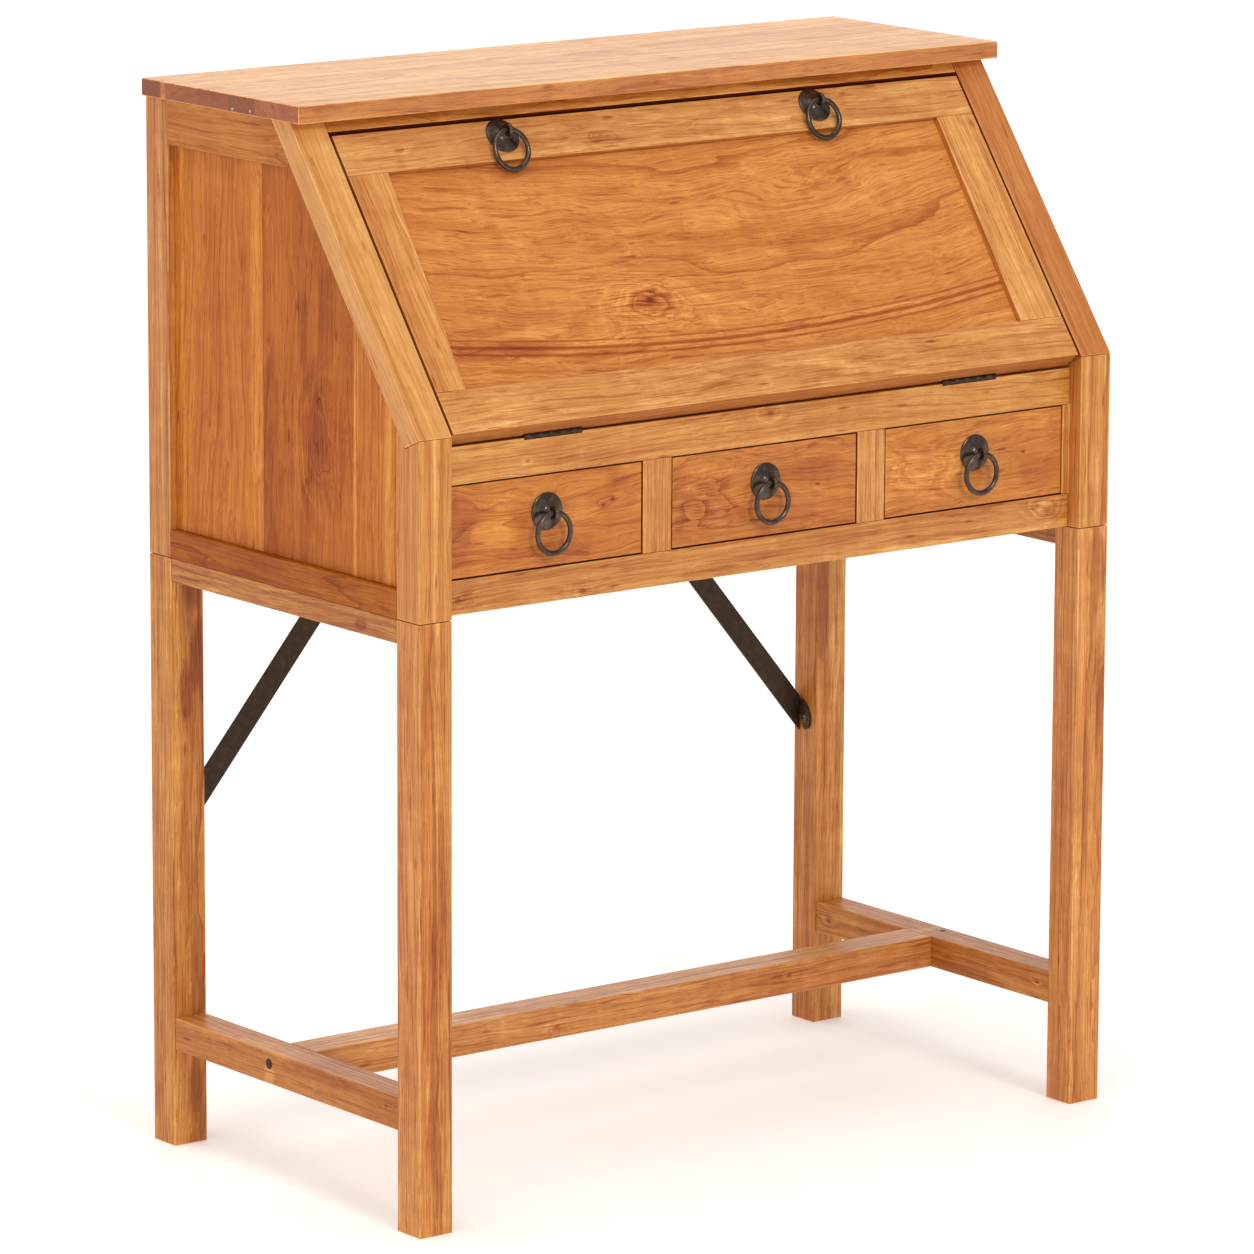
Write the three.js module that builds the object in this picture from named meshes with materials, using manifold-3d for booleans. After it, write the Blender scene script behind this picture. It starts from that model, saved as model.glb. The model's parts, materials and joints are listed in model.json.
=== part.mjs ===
// A fall-front secretary desk of solid acacia: a stand on four legs with a stretcher between its
// side frames and two iron braces, and on it a case with a sloping writing leaf and three drawers.
// Millimetres. +X is the sitter's right, -Y the front, +Z up. The origin is on the floor, in the
// middle of the desk's outline.
import * as THREE from "three";
import { mergeVertices } from "three/addons/utils/BufferGeometryUtils.js";
import Module from "manifold-3d";

const wasm = await Module();
wasm.setup();

// ---------------------------------------------------------------- driving dimensions
const TOP_WIDTH = 900;
const TOP_THICKNESS = 18;
const TOP_END_OVERHANG = 5; // past the posts, at each end
const TOP_FRONT_OVERHANG = 23; // past the sloping posts
const DEPTH = 468; // over the legs, front to back
const HEIGHT = 1108;

const LEG_WIDTH = 40; // along X
const LEG_DEPTH = 38; // along Y
const LEG_REVEAL = 1; // the stand's side rails behind the legs' outer faces
const SEAM_Z = 620; // top of the stand, underside of the case
const FRONT_POST_Z = 802; // where the front bends back into the slope
const SLOPE = Math.atan2(4, 3); // the leaf's angle to the floor
const SLOPE_POST_DEPTH = 26; // square to the slope

const FRAME_SETBACK = 18; // front rails behind the posts' front faces
const FRAME_DEPTH = 20; // front rails, front to back
const UPPER_RAIL_Z = [750, 788];
const LOWER_RAIL_Z = [620, 655];
const DIVIDER_WIDTH = 36; // between two drawers
const GUIDE_INSET = 10; // of the guide board behind a divider, each side
const CLEAT_WIDTH = 9; // between an end drawer and its post
const FIT = 0.3; // gap between two pieces that touch
const OVERRUN = 5; // of a cutting block past the face that it opens
const DRAWER_GAP = 1.6; // round a drawer front

const SIDE_PANEL_RECESS = 8; // behind the posts' outer faces
const SIDE_PANEL_THICKNESS = 12;

const LEAF_THICKNESS = 25;
const LEAF_END_GAP = 3;
const LEAF_SPAN = [3, 340]; // along the slope, from the bend
const FASCIA_GAP = 5; // between the leaf and the board above it
const FASCIA_LIP = { thickness: 12, lap: 16 }; // behind the leaf's upper edge
const LEAF_RAIL = 46;
// The stiles taper: widths at the lower rail and at the upper rail.
const LEAF_STILE = { left: [35, 48], right: [55, 49] };
const PANEL_FRONT_RECESS = 6;
const PANEL_BACK_RECESS = 1;

const HINGE_LENGTH = 71;
const HINGE_X = 268; // from the middle of the desk to the middle of a hinge
const KNUCKLES = 5;
const KNUCKLE_RADIUS = 2.75;
const KNUCKLE_GAP = 0.2; // between two knuckles
const KNUCKLE_ROOM = 0.45; // round the barrel, in the wood and in the plates
const HINGE_AXIS = { behind: 1.4, above: 0.9 }; // from the upper rail's front top edge
const HINGE_PLATE = 1.2; // thickness
const HINGE_PLATE_WIDTH = 17; // from the pin's axis
const PIN_RADIUS = 1.2;
const PIN_CLEARANCE = 0.08;

const DRAWER_FRONT_DEPTH = 18;
const DRAWER_RECESS = 0.5; // of its face behind the rails
const DRAWER_SIDE_INSET = 2; // of the box behind the front's ends
const DRAWER_BOX_LENGTH = 375;
const DRAWER_BOX_HEIGHT = 78;
const DRAWER_SIDE = 10;
const DRAWER_BOTTOM = 6;
const END_GUIDE_HEIGHT = 15; // of the strip beside an end drawer

const PULL_PLATE_RADIUS = 19;
const PULL_REACH = 12.5; // from the wood to the eye's centre
const EYE_WIRE = 1.4; // radius
const EYE_HOLE = 3.1; // radius
const RING_WIRE = 2.75; // radius
const RING_RADIUS = 20.25; // of the wire's centre line
const DRAWER_PULL_Z = 712;
const LEAF_PULL_X = 201;
const LEAF_PULL_S = 321.5; // along the slope
const LEAF_RING_LEAN = THREE.MathUtils.degToRad(-17.9); // from plumb, where it rests on the rail's edge

// ---------------------------------------------------------------- derived planes and spans
const halfWidth = TOP_WIDTH / 2 - TOP_END_OVERHANG; // outer faces of the legs
const legInner = halfWidth - LEG_WIDTH;
const front = -DEPTH / 2;
const back = DEPTH / 2;
const frontInner = front + LEG_DEPTH;
const backInner = back - LEG_DEPTH;
const topUnder = HEIGHT - TOP_THICKNESS;
const framePlane = front + FRAME_SETBACK;
const frameBack = framePlane + FRAME_DEPTH;
const slopeLength = (topUnder - FRONT_POST_Z) / Math.sin(SLOPE);
const slopeTopY = front + slopeLength * Math.cos(SLOPE);
const deskFloorZ = [776, UPPER_RAIL_Z[1]];
const bottomBoardZ = [643, LOWER_RAIL_Z[1]];
const sidePanelX = [halfWidth - SIDE_PANEL_RECESS - SIDE_PANEL_THICKNESS, halfWidth - SIDE_PANEL_RECESS];
const backPanelY = [200, 212];
const sides = [
  { side: "left", sign: -1 },
  { side: "right", sign: 1 },
];

// A point on the slope: s along it from the bend, n out of its front plane. Gives [y, z].
function onSlope(s, n) {
  return [
    front + s * Math.cos(SLOPE) - n * Math.sin(SLOPE),
    FRONT_POST_Z + s * Math.sin(SLOPE) + n * Math.cos(SLOPE),
  ];
}

// The hinge pins' line, in slope coordinates: with it here, the open leaf is level and its lower
// edge bears on the upper rail's front face.
const hingeY = framePlane + HINGE_AXIS.behind;
const hingeZ = UPPER_RAIL_Z[1] + HINGE_AXIS.above;
const hingeS = (hingeY - front) * Math.cos(SLOPE) + (hingeZ - FRONT_POST_Z) * Math.sin(SLOPE);
const hingeN = (hingeZ - FRONT_POST_Z) * Math.cos(SLOPE) - (hingeY - front) * Math.sin(SLOPE);

// ---------------------------------------------------------------- materials
function finish(color, roughness, metalness = 0) {
  return new THREE.MeshStandardMaterial({ color, roughness, metalness });
}
const honeyWood = finish(0xcd8a4c, 0.5);
const paleWood = finish(0xdda066, 0.5);
const panelWood = finish(0xb86c34, 0.48);
const leafWood = finish(0xc8824a, 0.48);
const drawerWood = finish(0xb5652f, 0.46);
const innerWood = finish(0xb98552, 0.65);
const blackIron = finish(0x3e322a, 0.55, 0.8);
const bronzeIron = finish(0x463c37, 0.45, 0.85);

// ---------------------------------------------------------------- geometry helpers
// A box from three [low, high] pairs.
function box(x, y, z) {
  const geometry = new THREE.BoxGeometry(x[1] - x[0], y[1] - y[0], z[1] - z[0]);
  return geometry.translate((x[0] + x[1]) / 2, (y[0] + y[1]) / 2, (z[0] + z[1]) / 2);
}

// A closed outline of [y, z] points, running anticlockwise, drawn out along X.
function prism(outline, x) {
  const shape = new THREE.Shape(outline.map(([y, z]) => new THREE.Vector2(y, z)));
  const geometry = new THREE.ExtrudeGeometry(shape, { depth: x[1] - x[0], bevelEnabled: false });
  const toYZ = new THREE.Matrix4().makeBasis(
    new THREE.Vector3(0, 1, 0),
    new THREE.Vector3(0, 0, 1),
    new THREE.Vector3(1, 0, 0),
  );
  return geometry.applyMatrix4(toYZ).translate(x[0], 0, 0);
}

// A closed outline of [x, y] points drawn up along Z.
function board(outline, z) {
  const shape = new THREE.Shape(outline.map(([x, y]) => new THREE.Vector2(x, y)));
  const geometry = new THREE.ExtrudeGeometry(shape, { depth: z[1] - z[0], bevelEnabled: false });
  return geometry.translate(0, 0, z[0]);
}

// A round bar along X about (y, z).
function barX(radius, x, y, z, sectors = 16) {
  const geometry = new THREE.CylinderGeometry(radius, radius, x[1] - x[0], sectors);
  return geometry.rotateZ(-Math.PI / 2).translate((x[0] + x[1]) / 2, y, z);
}

function toSolid(geometry) {
  const plain = geometry.clone();
  plain.deleteAttribute("normal");
  plain.deleteAttribute("uv");
  const merged = mergeVertices(plain, 1e-4);
  return new wasm.Manifold(
    new wasm.Mesh({
      numProp: 3,
      vertProperties: merged.attributes.position.array,
      triVerts: new Uint32Array(merged.index.array),
    }),
  );
}

function toGeometry(solid) {
  const mesh = solid.getMesh();
  const geometry = new THREE.BufferGeometry();
  geometry.setAttribute("position", new THREE.BufferAttribute(mesh.vertProperties, 3));
  geometry.setIndex(new THREE.BufferAttribute(mesh.triVerts, 1));
  geometry.computeVertexNormals();
  return geometry;
}

function join(first, ...others) {
  return toGeometry(others.reduce((sum, g) => sum.add(toSolid(g)), toSolid(first)));
}

function cut(first, ...tools) {
  return toGeometry(tools.reduce((rest, g) => rest.subtract(toSolid(g)), toSolid(first)));
}

// The same pair made larger at both ends, or smaller where by is negative.
function grow([low, high], by) {
  return [low - by, high + by];
}

// A pair measured outwards from the middle, on the side that sign gives.
function onSide(sign, near, far) {
  return sign > 0 ? [near, far] : [-far, -near];
}

function addPiece(parent, name, geometry, material) {
  const mesh = new THREE.Mesh(geometry, material);
  mesh.name = name;
  parent.add(mesh);
  return mesh;
}

// ---------------------------------------------------------------- stand
const standRailZ = [595.5, SEAM_Z];
const stretcherZ = [103, 137];
const stretcherWidth = 37;
const standRailWidth = 28;
const centreStretcherY = [-2, 42];
const tenonThickness = 12;
const tenonLength = 24;
const tenonShoulder = 6; // above and below the tenon

// A tenon along Y into one leg: sign picks the side, end is the leg's inner face and towards is
// the way into the leg.
function sideTenon(sign, width, z, end, towards, extra = 0) {
  const middle = halfWidth - LEG_REVEAL - width / 2;
  const x = onSide(sign, middle - tenonThickness / 2, middle + tenonThickness / 2);
  const tip = end + towards * (tenonLength + extra);
  const root = end - towards * (1 + extra);
  return box(grow(x, extra), [Math.min(root, tip), Math.max(root, tip)], grow(z, extra - tenonShoulder));
}

function makeLeg(parent, side, sign, end) {
  const y = end === "front" ? [front, frontInner] : [backInner, back];
  const inner = end === "front" ? frontInner : backInner;
  const towards = end === "front" ? -1 : 1;
  const body = box(onSide(sign, legInner, halfWidth), y, [0, SEAM_Z - FIT]);
  const leg = cut(
    body,
    sideTenon(sign, standRailWidth, standRailZ, inner, towards, FIT),
    sideTenon(sign, stretcherWidth, stretcherZ, inner, towards, FIT),
  );
  addPiece(parent, `leg_${end}_${side}`, leg, honeyWood);
}

// A rail between a front and a rear leg, with a tenon at each end.
function makeSideRail(sign, width, z, topGap) {
  const x = onSide(sign, halfWidth - LEG_REVEAL - width, halfWidth - LEG_REVEAL);
  const body = box(x, [frontInner + FIT, backInner - FIT], [z[0], z[1] - topGap]);
  return join(
    body,
    sideTenon(sign, width, z, frontInner, -1),
    sideTenon(sign, width, z, backInner, 1),
  );
}

// The stretcher between the two side frames has a tenon at each end.
const crossTenon = { length: 20, sideShoulder: 12, shoulder: 8 };
const sideStretcherInner = halfWidth - LEG_REVEAL - stretcherWidth;
const crossTenonX = [sideStretcherInner - 1, sideStretcherInner + crossTenon.length];
const crossTenonY = grow(centreStretcherY, -crossTenon.sideShoulder);
const crossTenonZ = grow(stretcherZ, -crossTenon.shoulder);

function makeStretchers(parent) {
  const inner = sideStretcherInner - FIT;
  const tenons = sides.map(({ sign }) =>
    box(onSide(sign, ...crossTenonX), crossTenonY, crossTenonZ),
  );
  const centre = join(box([-inner, inner], centreStretcherY, stretcherZ), ...tenons);
  addPiece(parent, "centre_stretcher", centre, honeyWood);
  for (const { side, sign } of sides) {
    const mortise = box(
      grow(onSide(sign, ...crossTenonX), FIT),
      grow(crossTenonY, FIT),
      grow(crossTenonZ, FIT),
    );
    const rail = cut(makeSideRail(sign, stretcherWidth, stretcherZ, 0), mortise);
    addPiece(parent, `side_stretcher_${side}`, rail, honeyWood);
  }
}

// A flat iron bar from the rear leg up to the rear rail of the case. Its lower end turns
// forwards into a round tab that lies on the leg.
const braceThickness = 3;
const braceWidth = 25;
const braceY = [224, 224 + braceThickness];
const braceFoot = [legInner - FIT, 345]; // [x, z] of the bar's middle where it meets the leg
const braceTop = [157, 639];
const tabLength = 20;
const barOverrun = 60; // length and height of the block that trims the bar at the leg

function makeBrace(parent, side, sign) {
  const along = new THREE.Vector2(braceTop[0] - braceFoot[0], braceTop[1] - braceFoot[1]);
  const length = along.length();
  const angle = along.angle();
  const bar = new THREE.Shape();
  bar.moveTo(-braceWidth, -braceWidth / 2);
  bar.lineTo(length, -braceWidth / 2);
  bar.absarc(length, 0, braceWidth / 2, -Math.PI / 2, Math.PI / 2, false);
  bar.lineTo(-braceWidth, braceWidth / 2);
  const flat = new THREE.ExtrudeGeometry(bar, {
    depth: braceThickness,
    bevelEnabled: false,
    curveSegments: 8,
  });
  flat.rotateZ(angle).translate(braceFoot[0], braceFoot[1], 0);
  flat.rotateX(Math.PI / 2).translate(0, braceY[1], 0);
  const beyondLeg = box(
    [braceFoot[0], braceFoot[0] + barOverrun],
    grow(braceY, braceThickness),
    grow([braceFoot[1], braceFoot[1]], barOverrun),
  );
  const trimmed = cut(flat, beyondLeg);

  const half = braceWidth / 2 / Math.cos(angle - Math.PI / 2); // of the bar's cut end, along Z
  const tab = new THREE.Shape();
  tab.moveTo(braceY[1], braceFoot[1] + half);
  tab.lineTo(braceY[0] - tabLength / 3, braceFoot[1] + half);
  tab.quadraticCurveTo(
    braceY[0] - tabLength,
    braceFoot[1] + half / 2,
    braceY[0] - tabLength,
    braceFoot[1] - half / 3,
  );
  tab.quadraticCurveTo(
    braceY[0] - tabLength,
    braceFoot[1] - half,
    braceY[0] - tabLength / 2,
    braceFoot[1] - half,
  );
  tab.lineTo(braceY[1], braceFoot[1] - half);
  const outline = tab.getPoints(6).map((p) => [p.x, p.y]);
  const lug = prism(outline.slice(0, -1), [braceFoot[0] - braceThickness, braceFoot[0]]);
  const brace = join(trimmed, lug);
  if (sign < 0) {
    brace.scale(-1, 1, 1);
    flipFaces(brace);
  }
  addPiece(parent, `brace_${side}`, brace, blackIron);
}

// Turns every face round, after a mirroring scale.
function flipFaces(geometry) {
  const index = geometry.index.array;
  for (let i = 0; i < index.length; i += 3) {
    [index[i + 1], index[i + 2]] = [index[i + 2], index[i + 1]];
  }
  geometry.computeVertexNormals();
}

function makeStand(parent) {
  for (const { side, sign } of sides) {
    makeLeg(parent, side, sign, "front");
    makeLeg(parent, side, sign, "rear");
    const rail = makeSideRail(sign, standRailWidth, standRailZ, FIT);
    addPiece(parent, `stand_rail_${side}`, rail, paleWood);
    makeBrace(parent, side, sign);
  }
  makeStretchers(parent);
}

// ---------------------------------------------------------------- case
const sideRailBottomZ = [SEAM_Z, 649];
const sideRailTopZ = [1044, topUnder];
const sideRailWidth = 22;
const mitreS = 6; // rear end of the joint at the bend, along the slope
const mitre = onSlope(mitreS, -SLOPE_POST_DEPTH);
const postBackTop = onSlope(
  mitreS + (frontInner - mitre[0]) / Math.cos(SLOPE),
  -SLOPE_POST_DEPTH,
);

function makePosts(parent, side, sign) {
  const x = onSide(sign, legInner, halfWidth);
  const post = prism(
    [
      [front, SEAM_Z + FIT],
      [frontInner, SEAM_Z + FIT],
      [postBackTop[0], postBackTop[1] - 2 * FIT],
      [mitre[0], mitre[1] - 2 * FIT],
      [front, FRONT_POST_Z - FIT],
    ],
    x,
  );
  const cleat = box(
    onSide(sign, legInner - CLEAT_WIDTH, legInner + 1),
    [framePlane, frameBack],
    [LOWER_RAIL_Z[1] + FIT, UPPER_RAIL_Z[0] - FIT],
  );
  addPiece(parent, `front_post_${side}`, join(post, cleat), honeyWood);

  const slopeTop = slopeTopY + SLOPE_POST_DEPTH / Math.sin(SLOPE);
  const sloping = prism(
    [
      [front, FRONT_POST_Z],
      mitre,
      [slopeTop, topUnder - FIT],
      [slopeTopY, topUnder - FIT],
    ],
    x,
  );
  addPiece(parent, `slope_post_${side}`, sloping, paleWood);
  const rear = box(x, [backInner, back], [SEAM_Z + FIT, topUnder - FIT]);
  addPiece(parent, `rear_post_${side}`, rear, honeyWood);
}

// The y of the sloping post's back at a height, with the joint's gap.
function behindSlopePost(z) {
  const run = (z - FRONT_POST_Z) / Math.tan(SLOPE);
  return front + run + (SLOPE_POST_DEPTH + 2 * FIT) / Math.sin(SLOPE);
}

function makeSide(parent, side, sign) {
  const railX = onSide(sign, halfWidth - sideRailWidth, halfWidth);
  const bottom = box(
    railX,
    [frontInner + FIT, backInner - FIT],
    [sideRailBottomZ[0] + FIT, sideRailBottomZ[1]],
  );
  addPiece(parent, `case_rail_bottom_${side}`, bottom, honeyWood);

  const top = prism(
    [
      [behindSlopePost(sideRailTopZ[0]), sideRailTopZ[0]],
      [backInner - FIT, sideRailTopZ[0]],
      [backInner - FIT, topUnder - FIT],
      [behindSlopePost(topUnder - FIT), topUnder - FIT],
    ],
    railX,
  );
  addPiece(parent, `case_rail_top_${side}`, top, paleWood);

  const low = sideRailBottomZ[1] + FIT;
  const high = sideRailTopZ[0] - FIT;
  const panel = prism(
    [
      [frontInner + FIT, low],
      [backInner - FIT, low],
      [backInner - FIT, high],
      [behindSlopePost(high), high],
      [frontInner + FIT, postBackTop[1] + FIT],
    ],
    onSide(sign, ...sidePanelX),
  );
  addPiece(parent, `side_panel_${side}`, panel, panelWood);
}

// Recesses in the upper rail for the hinges: a flat one for each plate, a round one for the barrel.
function hingeRecesses(centre) {
  const x = grow([centre - HINGE_LENGTH / 2, centre + HINGE_LENGTH / 2], FIT);
  const plate = box(
    x,
    [framePlane - OVERRUN, hingeY + HINGE_PLATE_WIDTH + FIT],
    [UPPER_RAIL_Z[1] - HINGE_PLATE - FIT, UPPER_RAIL_Z[1] + OVERRUN],
  );
  return [plate, barX(KNUCKLE_RADIUS + KNUCKLE_ROOM, x, hingeY, hingeZ)];
}

function makeFrontFrame(parent) {
  const x = [-legInner + FIT, legInner - FIT];
  const y = [framePlane, frameBack];
  const recesses = [-HINGE_X, HINGE_X].flatMap(hingeRecesses);
  const upper = cut(box(x, y, UPPER_RAIL_Z), ...recesses);
  addPiece(parent, "front_rail_upper", upper, paleWood);
  const lower = box(x, y, [LOWER_RAIL_Z[0] + FIT, LOWER_RAIL_Z[1]]);
  addPiece(parent, "front_rail_lower", lower, honeyWood);

  // Each divider is a stile between two drawer fronts with a guide board behind it.
  const bay = drawerBays[1];
  for (const { side, sign } of sides) {
    const near = bay.x[1];
    const stile = box(
      onSide(sign, near, near + DIVIDER_WIDTH),
      y,
      grow([LOWER_RAIL_Z[1], UPPER_RAIL_Z[0]], -FIT),
    );
    const guide = box(
      onSide(sign, near + GUIDE_INSET, near + DIVIDER_WIDTH - GUIDE_INSET),
      [frameBack - 1, backInner - FIT],
      [LOWER_RAIL_Z[1] + FIT, deskFloorZ[0] - FIT],
    );
    const notch = box(
      onSide(sign, near, near + DIVIDER_WIDTH),
      [frameBack - OVERRUN, frameBack + FIT],
      [UPPER_RAIL_Z[0] - FIT, deskFloorZ[1]],
    );
    addPiece(parent, `drawer_divider_${side}`, cut(join(stile, guide), notch), honeyWood);
  }
}

// A board inside the case that fits round the rear posts.
function innerBoard(y0, z) {
  const wide = sidePanelX[0] - FIT;
  const narrow = legInner - FIT;
  return board(
    [
      [-wide, y0],
      [wide, y0],
      [wide, backInner - FIT],
      [narrow, backInner - FIT],
      [narrow, backPanelY[0] - FIT],
      [-narrow, backPanelY[0] - FIT],
      [-narrow, backInner - FIT],
      [-wide, backInner - FIT],
    ],
    z,
  );
}

const shelfY = 40;
const shelfZ = [925, 937];
const pigeonholeDividerX = [-6, 6];

function makeInside(parent) {
  const floorBoard = innerBoard(frameBack + FIT, deskFloorZ);
  addPiece(parent, "desk_floor", floorBoard, innerWood);
  const underWide = halfWidth - sideRailWidth - FIT;
  const runY = [frameBack + FIT, backInner - FIT];
  const bottom = box([-underWide, underWide], runY, bottomBoardZ);
  // A strip at each end guides the outer side of an end drawer.
  const guides = sides.map(({ sign }) =>
    box(
      onSide(sign, legInner - CLEAT_WIDTH, legInner),
      runY,
      [bottomBoardZ[0] + 1, bottomBoardZ[1] + END_GUIDE_HEIGHT],
    ),
  );
  addPiece(parent, "bottom_board", join(bottom, ...guides), innerWood);
  addPiece(parent, "pigeonhole_shelf", innerBoard(shelfY, shelfZ), innerWood);
  const divider = box(
    pigeonholeDividerX,
    [shelfY, backPanelY[0] - FIT],
    grow([deskFloorZ[1], shelfZ[0]], -FIT),
  );
  addPiece(parent, "pigeonhole_divider", divider, innerWood);
}

function makeBackAndTop(parent) {
  const between = [-legInner + FIT, legInner - FIT];
  const rearRail = box(
    between,
    [backInner, braceY[0] - FIT],
    [SEAM_Z + FIT, LOWER_RAIL_Z[1]],
  );
  addPiece(parent, "case_rail_rear", rearRail, honeyWood);
  const panel = box(between, backPanelY, [LOWER_RAIL_Z[1] + FIT, topUnder - FIT]);
  addPiece(parent, "back_panel", panel, innerWood);

  const top = box(
    [-TOP_WIDTH / 2, TOP_WIDTH / 2],
    [slopeTopY - TOP_FRONT_OVERHANG, back],
    [topUnder, HEIGHT],
  );
  addPiece(parent, "top_board", top, paleWood);

  // The fascia fills the slope above the leaf; its rear lip is the stop that the leaf leans on.
  const fasciaLow = LEAF_SPAN[1] + FASCIA_GAP;
  const lip = {
    near: -LEAF_THICKNESS - FIT,
    far: -LEAF_THICKNESS - FASCIA_LIP.thickness,
    s: LEAF_SPAN[1] - FASCIA_LIP.lap,
  };
  const fascia = prism(
    [
      onSlope(fasciaLow, -1),
      onSlope(fasciaLow, lip.near),
      onSlope(lip.s, lip.near),
      onSlope(lip.s, lip.far),
      [slopeTopY - lip.far / Math.sin(SLOPE), topUnder - FIT],
      [slopeTopY + 1, topUnder - FIT],
    ],
    between,
  );
  addPiece(parent, "fascia", fascia, honeyWood);
}

function makeCase(parent) {
  for (const { side, sign } of sides) {
    makePosts(parent, side, sign);
    makeSide(parent, side, sign);
  }
  makeFrontFrame(parent);
  makeInside(parent);
  makeBackAndTop(parent);
}

// ---------------------------------------------------------------- fall-front leaf
// Made flat in slope coordinates: X across, Y up the slope, Z out of the front plane.
const leafHalf = legInner - LEAF_END_GAP;

// Recesses in the leaf's lower rail for one hinge.
function leafRecesses(centre) {
  const x = grow([centre - HINGE_LENGTH / 2, centre + HINGE_LENGTH / 2], FIT);
  const plate = box(
    x,
    [hingeS - 1, hingeS + HINGE_PLATE_WIDTH + FIT],
    [-LEAF_THICKNESS - 1, -LEAF_THICKNESS + HINGE_PLATE + FIT],
  );
  return [plate, barX(KNUCKLE_RADIUS + KNUCKLE_ROOM, x, hingeS, hingeN)];
}

function makeLeaf(parent) {
  const x = [-leafHalf, leafHalf];
  const n = [-LEAF_THICKNESS, 0];
  const lowSeam = LEAF_SPAN[0] + LEAF_RAIL;
  const highSeam = LEAF_SPAN[1] - LEAF_RAIL;
  const recesses = [-HINGE_X, HINGE_X].flatMap(leafRecesses);
  const lower = cut(box(x, [LEAF_SPAN[0], lowSeam], n), ...recesses);
  addPiece(parent, "leaf_rail_lower", lower, paleWood);
  addPiece(parent, "leaf_rail_upper", box(x, [highSeam, LEAF_SPAN[1]], n), paleWood);
  const [low, high] = grow([lowSeam, highSeam], -FIT);
  const openingEdges = {};
  for (const { side, sign } of sides) {
    const [lowWidth, highWidth] = LEAF_STILE[side];
    const [lowX, highX] = [sign * (leafHalf - lowWidth), sign * (leafHalf - highWidth)];
    openingEdges[side] = [lowX, highX];
    const outline = [
      [lowX, low],
      [sign * leafHalf, low],
      [sign * leafHalf, high],
      [highX, high],
    ];
    addPiece(parent, `leaf_stile_${side}`, board(outline, n), honeyWood);
  }
  const panel = [
    [openingEdges.left[0] + FIT, low],
    [openingEdges.right[0] - FIT, low],
    [openingEdges.right[1] - FIT, high],
    [openingEdges.left[1] + FIT, high],
  ];
  const panelN = [-LEAF_THICKNESS + PANEL_BACK_RECESS, -PANEL_FRONT_RECESS];
  addPiece(parent, "leaf_panel", board(panel, panelN), leafWood);
}

// ---------------------------------------------------------------- butt hinges
// The spans along X of the knuckles that one half carries: every second one.
function knuckleSpans(centre, first) {
  const pitch = HINGE_LENGTH / KNUCKLES;
  const spans = [];
  for (let i = first; i < KNUCKLES; i += 2) {
    const low = centre - HINGE_LENGTH / 2 + i * pitch;
    spans.push(grow([low, low + pitch], -KNUCKLE_GAP / 2));
  }
  return spans;
}

// One half of a hinge about the axis at (y, z): its plate, its knuckles, and the room that the
// other half's knuckles need.
function hingeHalf(plate, centre, first, y, z) {
  const knuckles = knuckleSpans(centre, first).map((x) => barX(KNUCKLE_RADIUS, x, y, z));
  const others = knuckleSpans(centre, 1 - first).map((x) =>
    barX(KNUCKLE_RADIUS + KNUCKLE_ROOM, grow(x, KNUCKLE_GAP), y, z),
  );
  return join(cut(plate, ...others), ...knuckles);
}

function makeHinges(caseGroup, leafGroup) {
  for (const { side, sign } of sides) {
    const centre = sign * HINGE_X;
    const x = [centre - HINGE_LENGTH / 2, centre + HINGE_LENGTH / 2];

    const fixedPlate = box(
      x,
      [hingeY, hingeY + HINGE_PLATE_WIDTH],
      [UPPER_RAIL_Z[1] - HINGE_PLATE, UPPER_RAIL_Z[1]],
    );
    const pin = barX(PIN_RADIUS, x, hingeY, hingeZ, 12);
    const fixed = join(hingeHalf(fixedPlate, centre, 0, hingeY, hingeZ), pin);
    addPiece(caseGroup, `hinge_rail_plate_${side}`, fixed, blackIron);

    const movingPlate = box(
      x,
      [hingeS, hingeS + HINGE_PLATE_WIDTH],
      [-LEAF_THICKNESS, -LEAF_THICKNESS + HINGE_PLATE],
    );
    const bore = barX(PIN_RADIUS + PIN_CLEARANCE, grow(x, 1), hingeS, hingeN, 24);
    const moving = cut(hingeHalf(movingPlate, centre, 1, hingeS, hingeN), bore);
    addPiece(leafGroup, `hinge_leaf_plate_${side}`, moving, blackIron);
  }
}

// ---------------------------------------------------------------- drawers
const bayWidth = (2 * (legInner - CLEAT_WIDTH) - 2 * DIVIDER_WIDTH) / 3;
const drawerBays = ["left", "middle", "right"].map((place, i) => {
  const low = -legInner + CLEAT_WIDTH + i * (bayWidth + DIVIDER_WIDTH);
  return { place, x: [low, low + bayWidth] };
});

function makeDrawer(parent, { place, x }) {
  const face = framePlane + DRAWER_RECESS;
  const faceBack = face + DRAWER_FRONT_DEPTH;
  const z = grow([LOWER_RAIL_Z[1], UPPER_RAIL_Z[0]], -DRAWER_GAP);
  const board = box(grow(x, -DRAWER_GAP), [face, faceBack], z);
  addPiece(parent, `drawer_front_${place}`, board, drawerWood);

  const outer = grow(x, -DRAWER_GAP - DRAWER_SIDE_INSET);
  const y = [faceBack + FIT, faceBack + DRAWER_BOX_LENGTH];
  const low = LOWER_RAIL_Z[1] + FIT;
  const body = box(outer, y, [low, low + DRAWER_BOX_HEIGHT]);
  const hollow = box(
    grow(outer, -DRAWER_SIDE),
    [y[0] - OVERRUN, y[1] - DRAWER_SIDE],
    [low + DRAWER_BOTTOM, low + DRAWER_BOX_HEIGHT + OVERRUN],
  );
  addPiece(parent, `drawer_box_${place}`, cut(body, hollow), innerWood);
}

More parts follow.
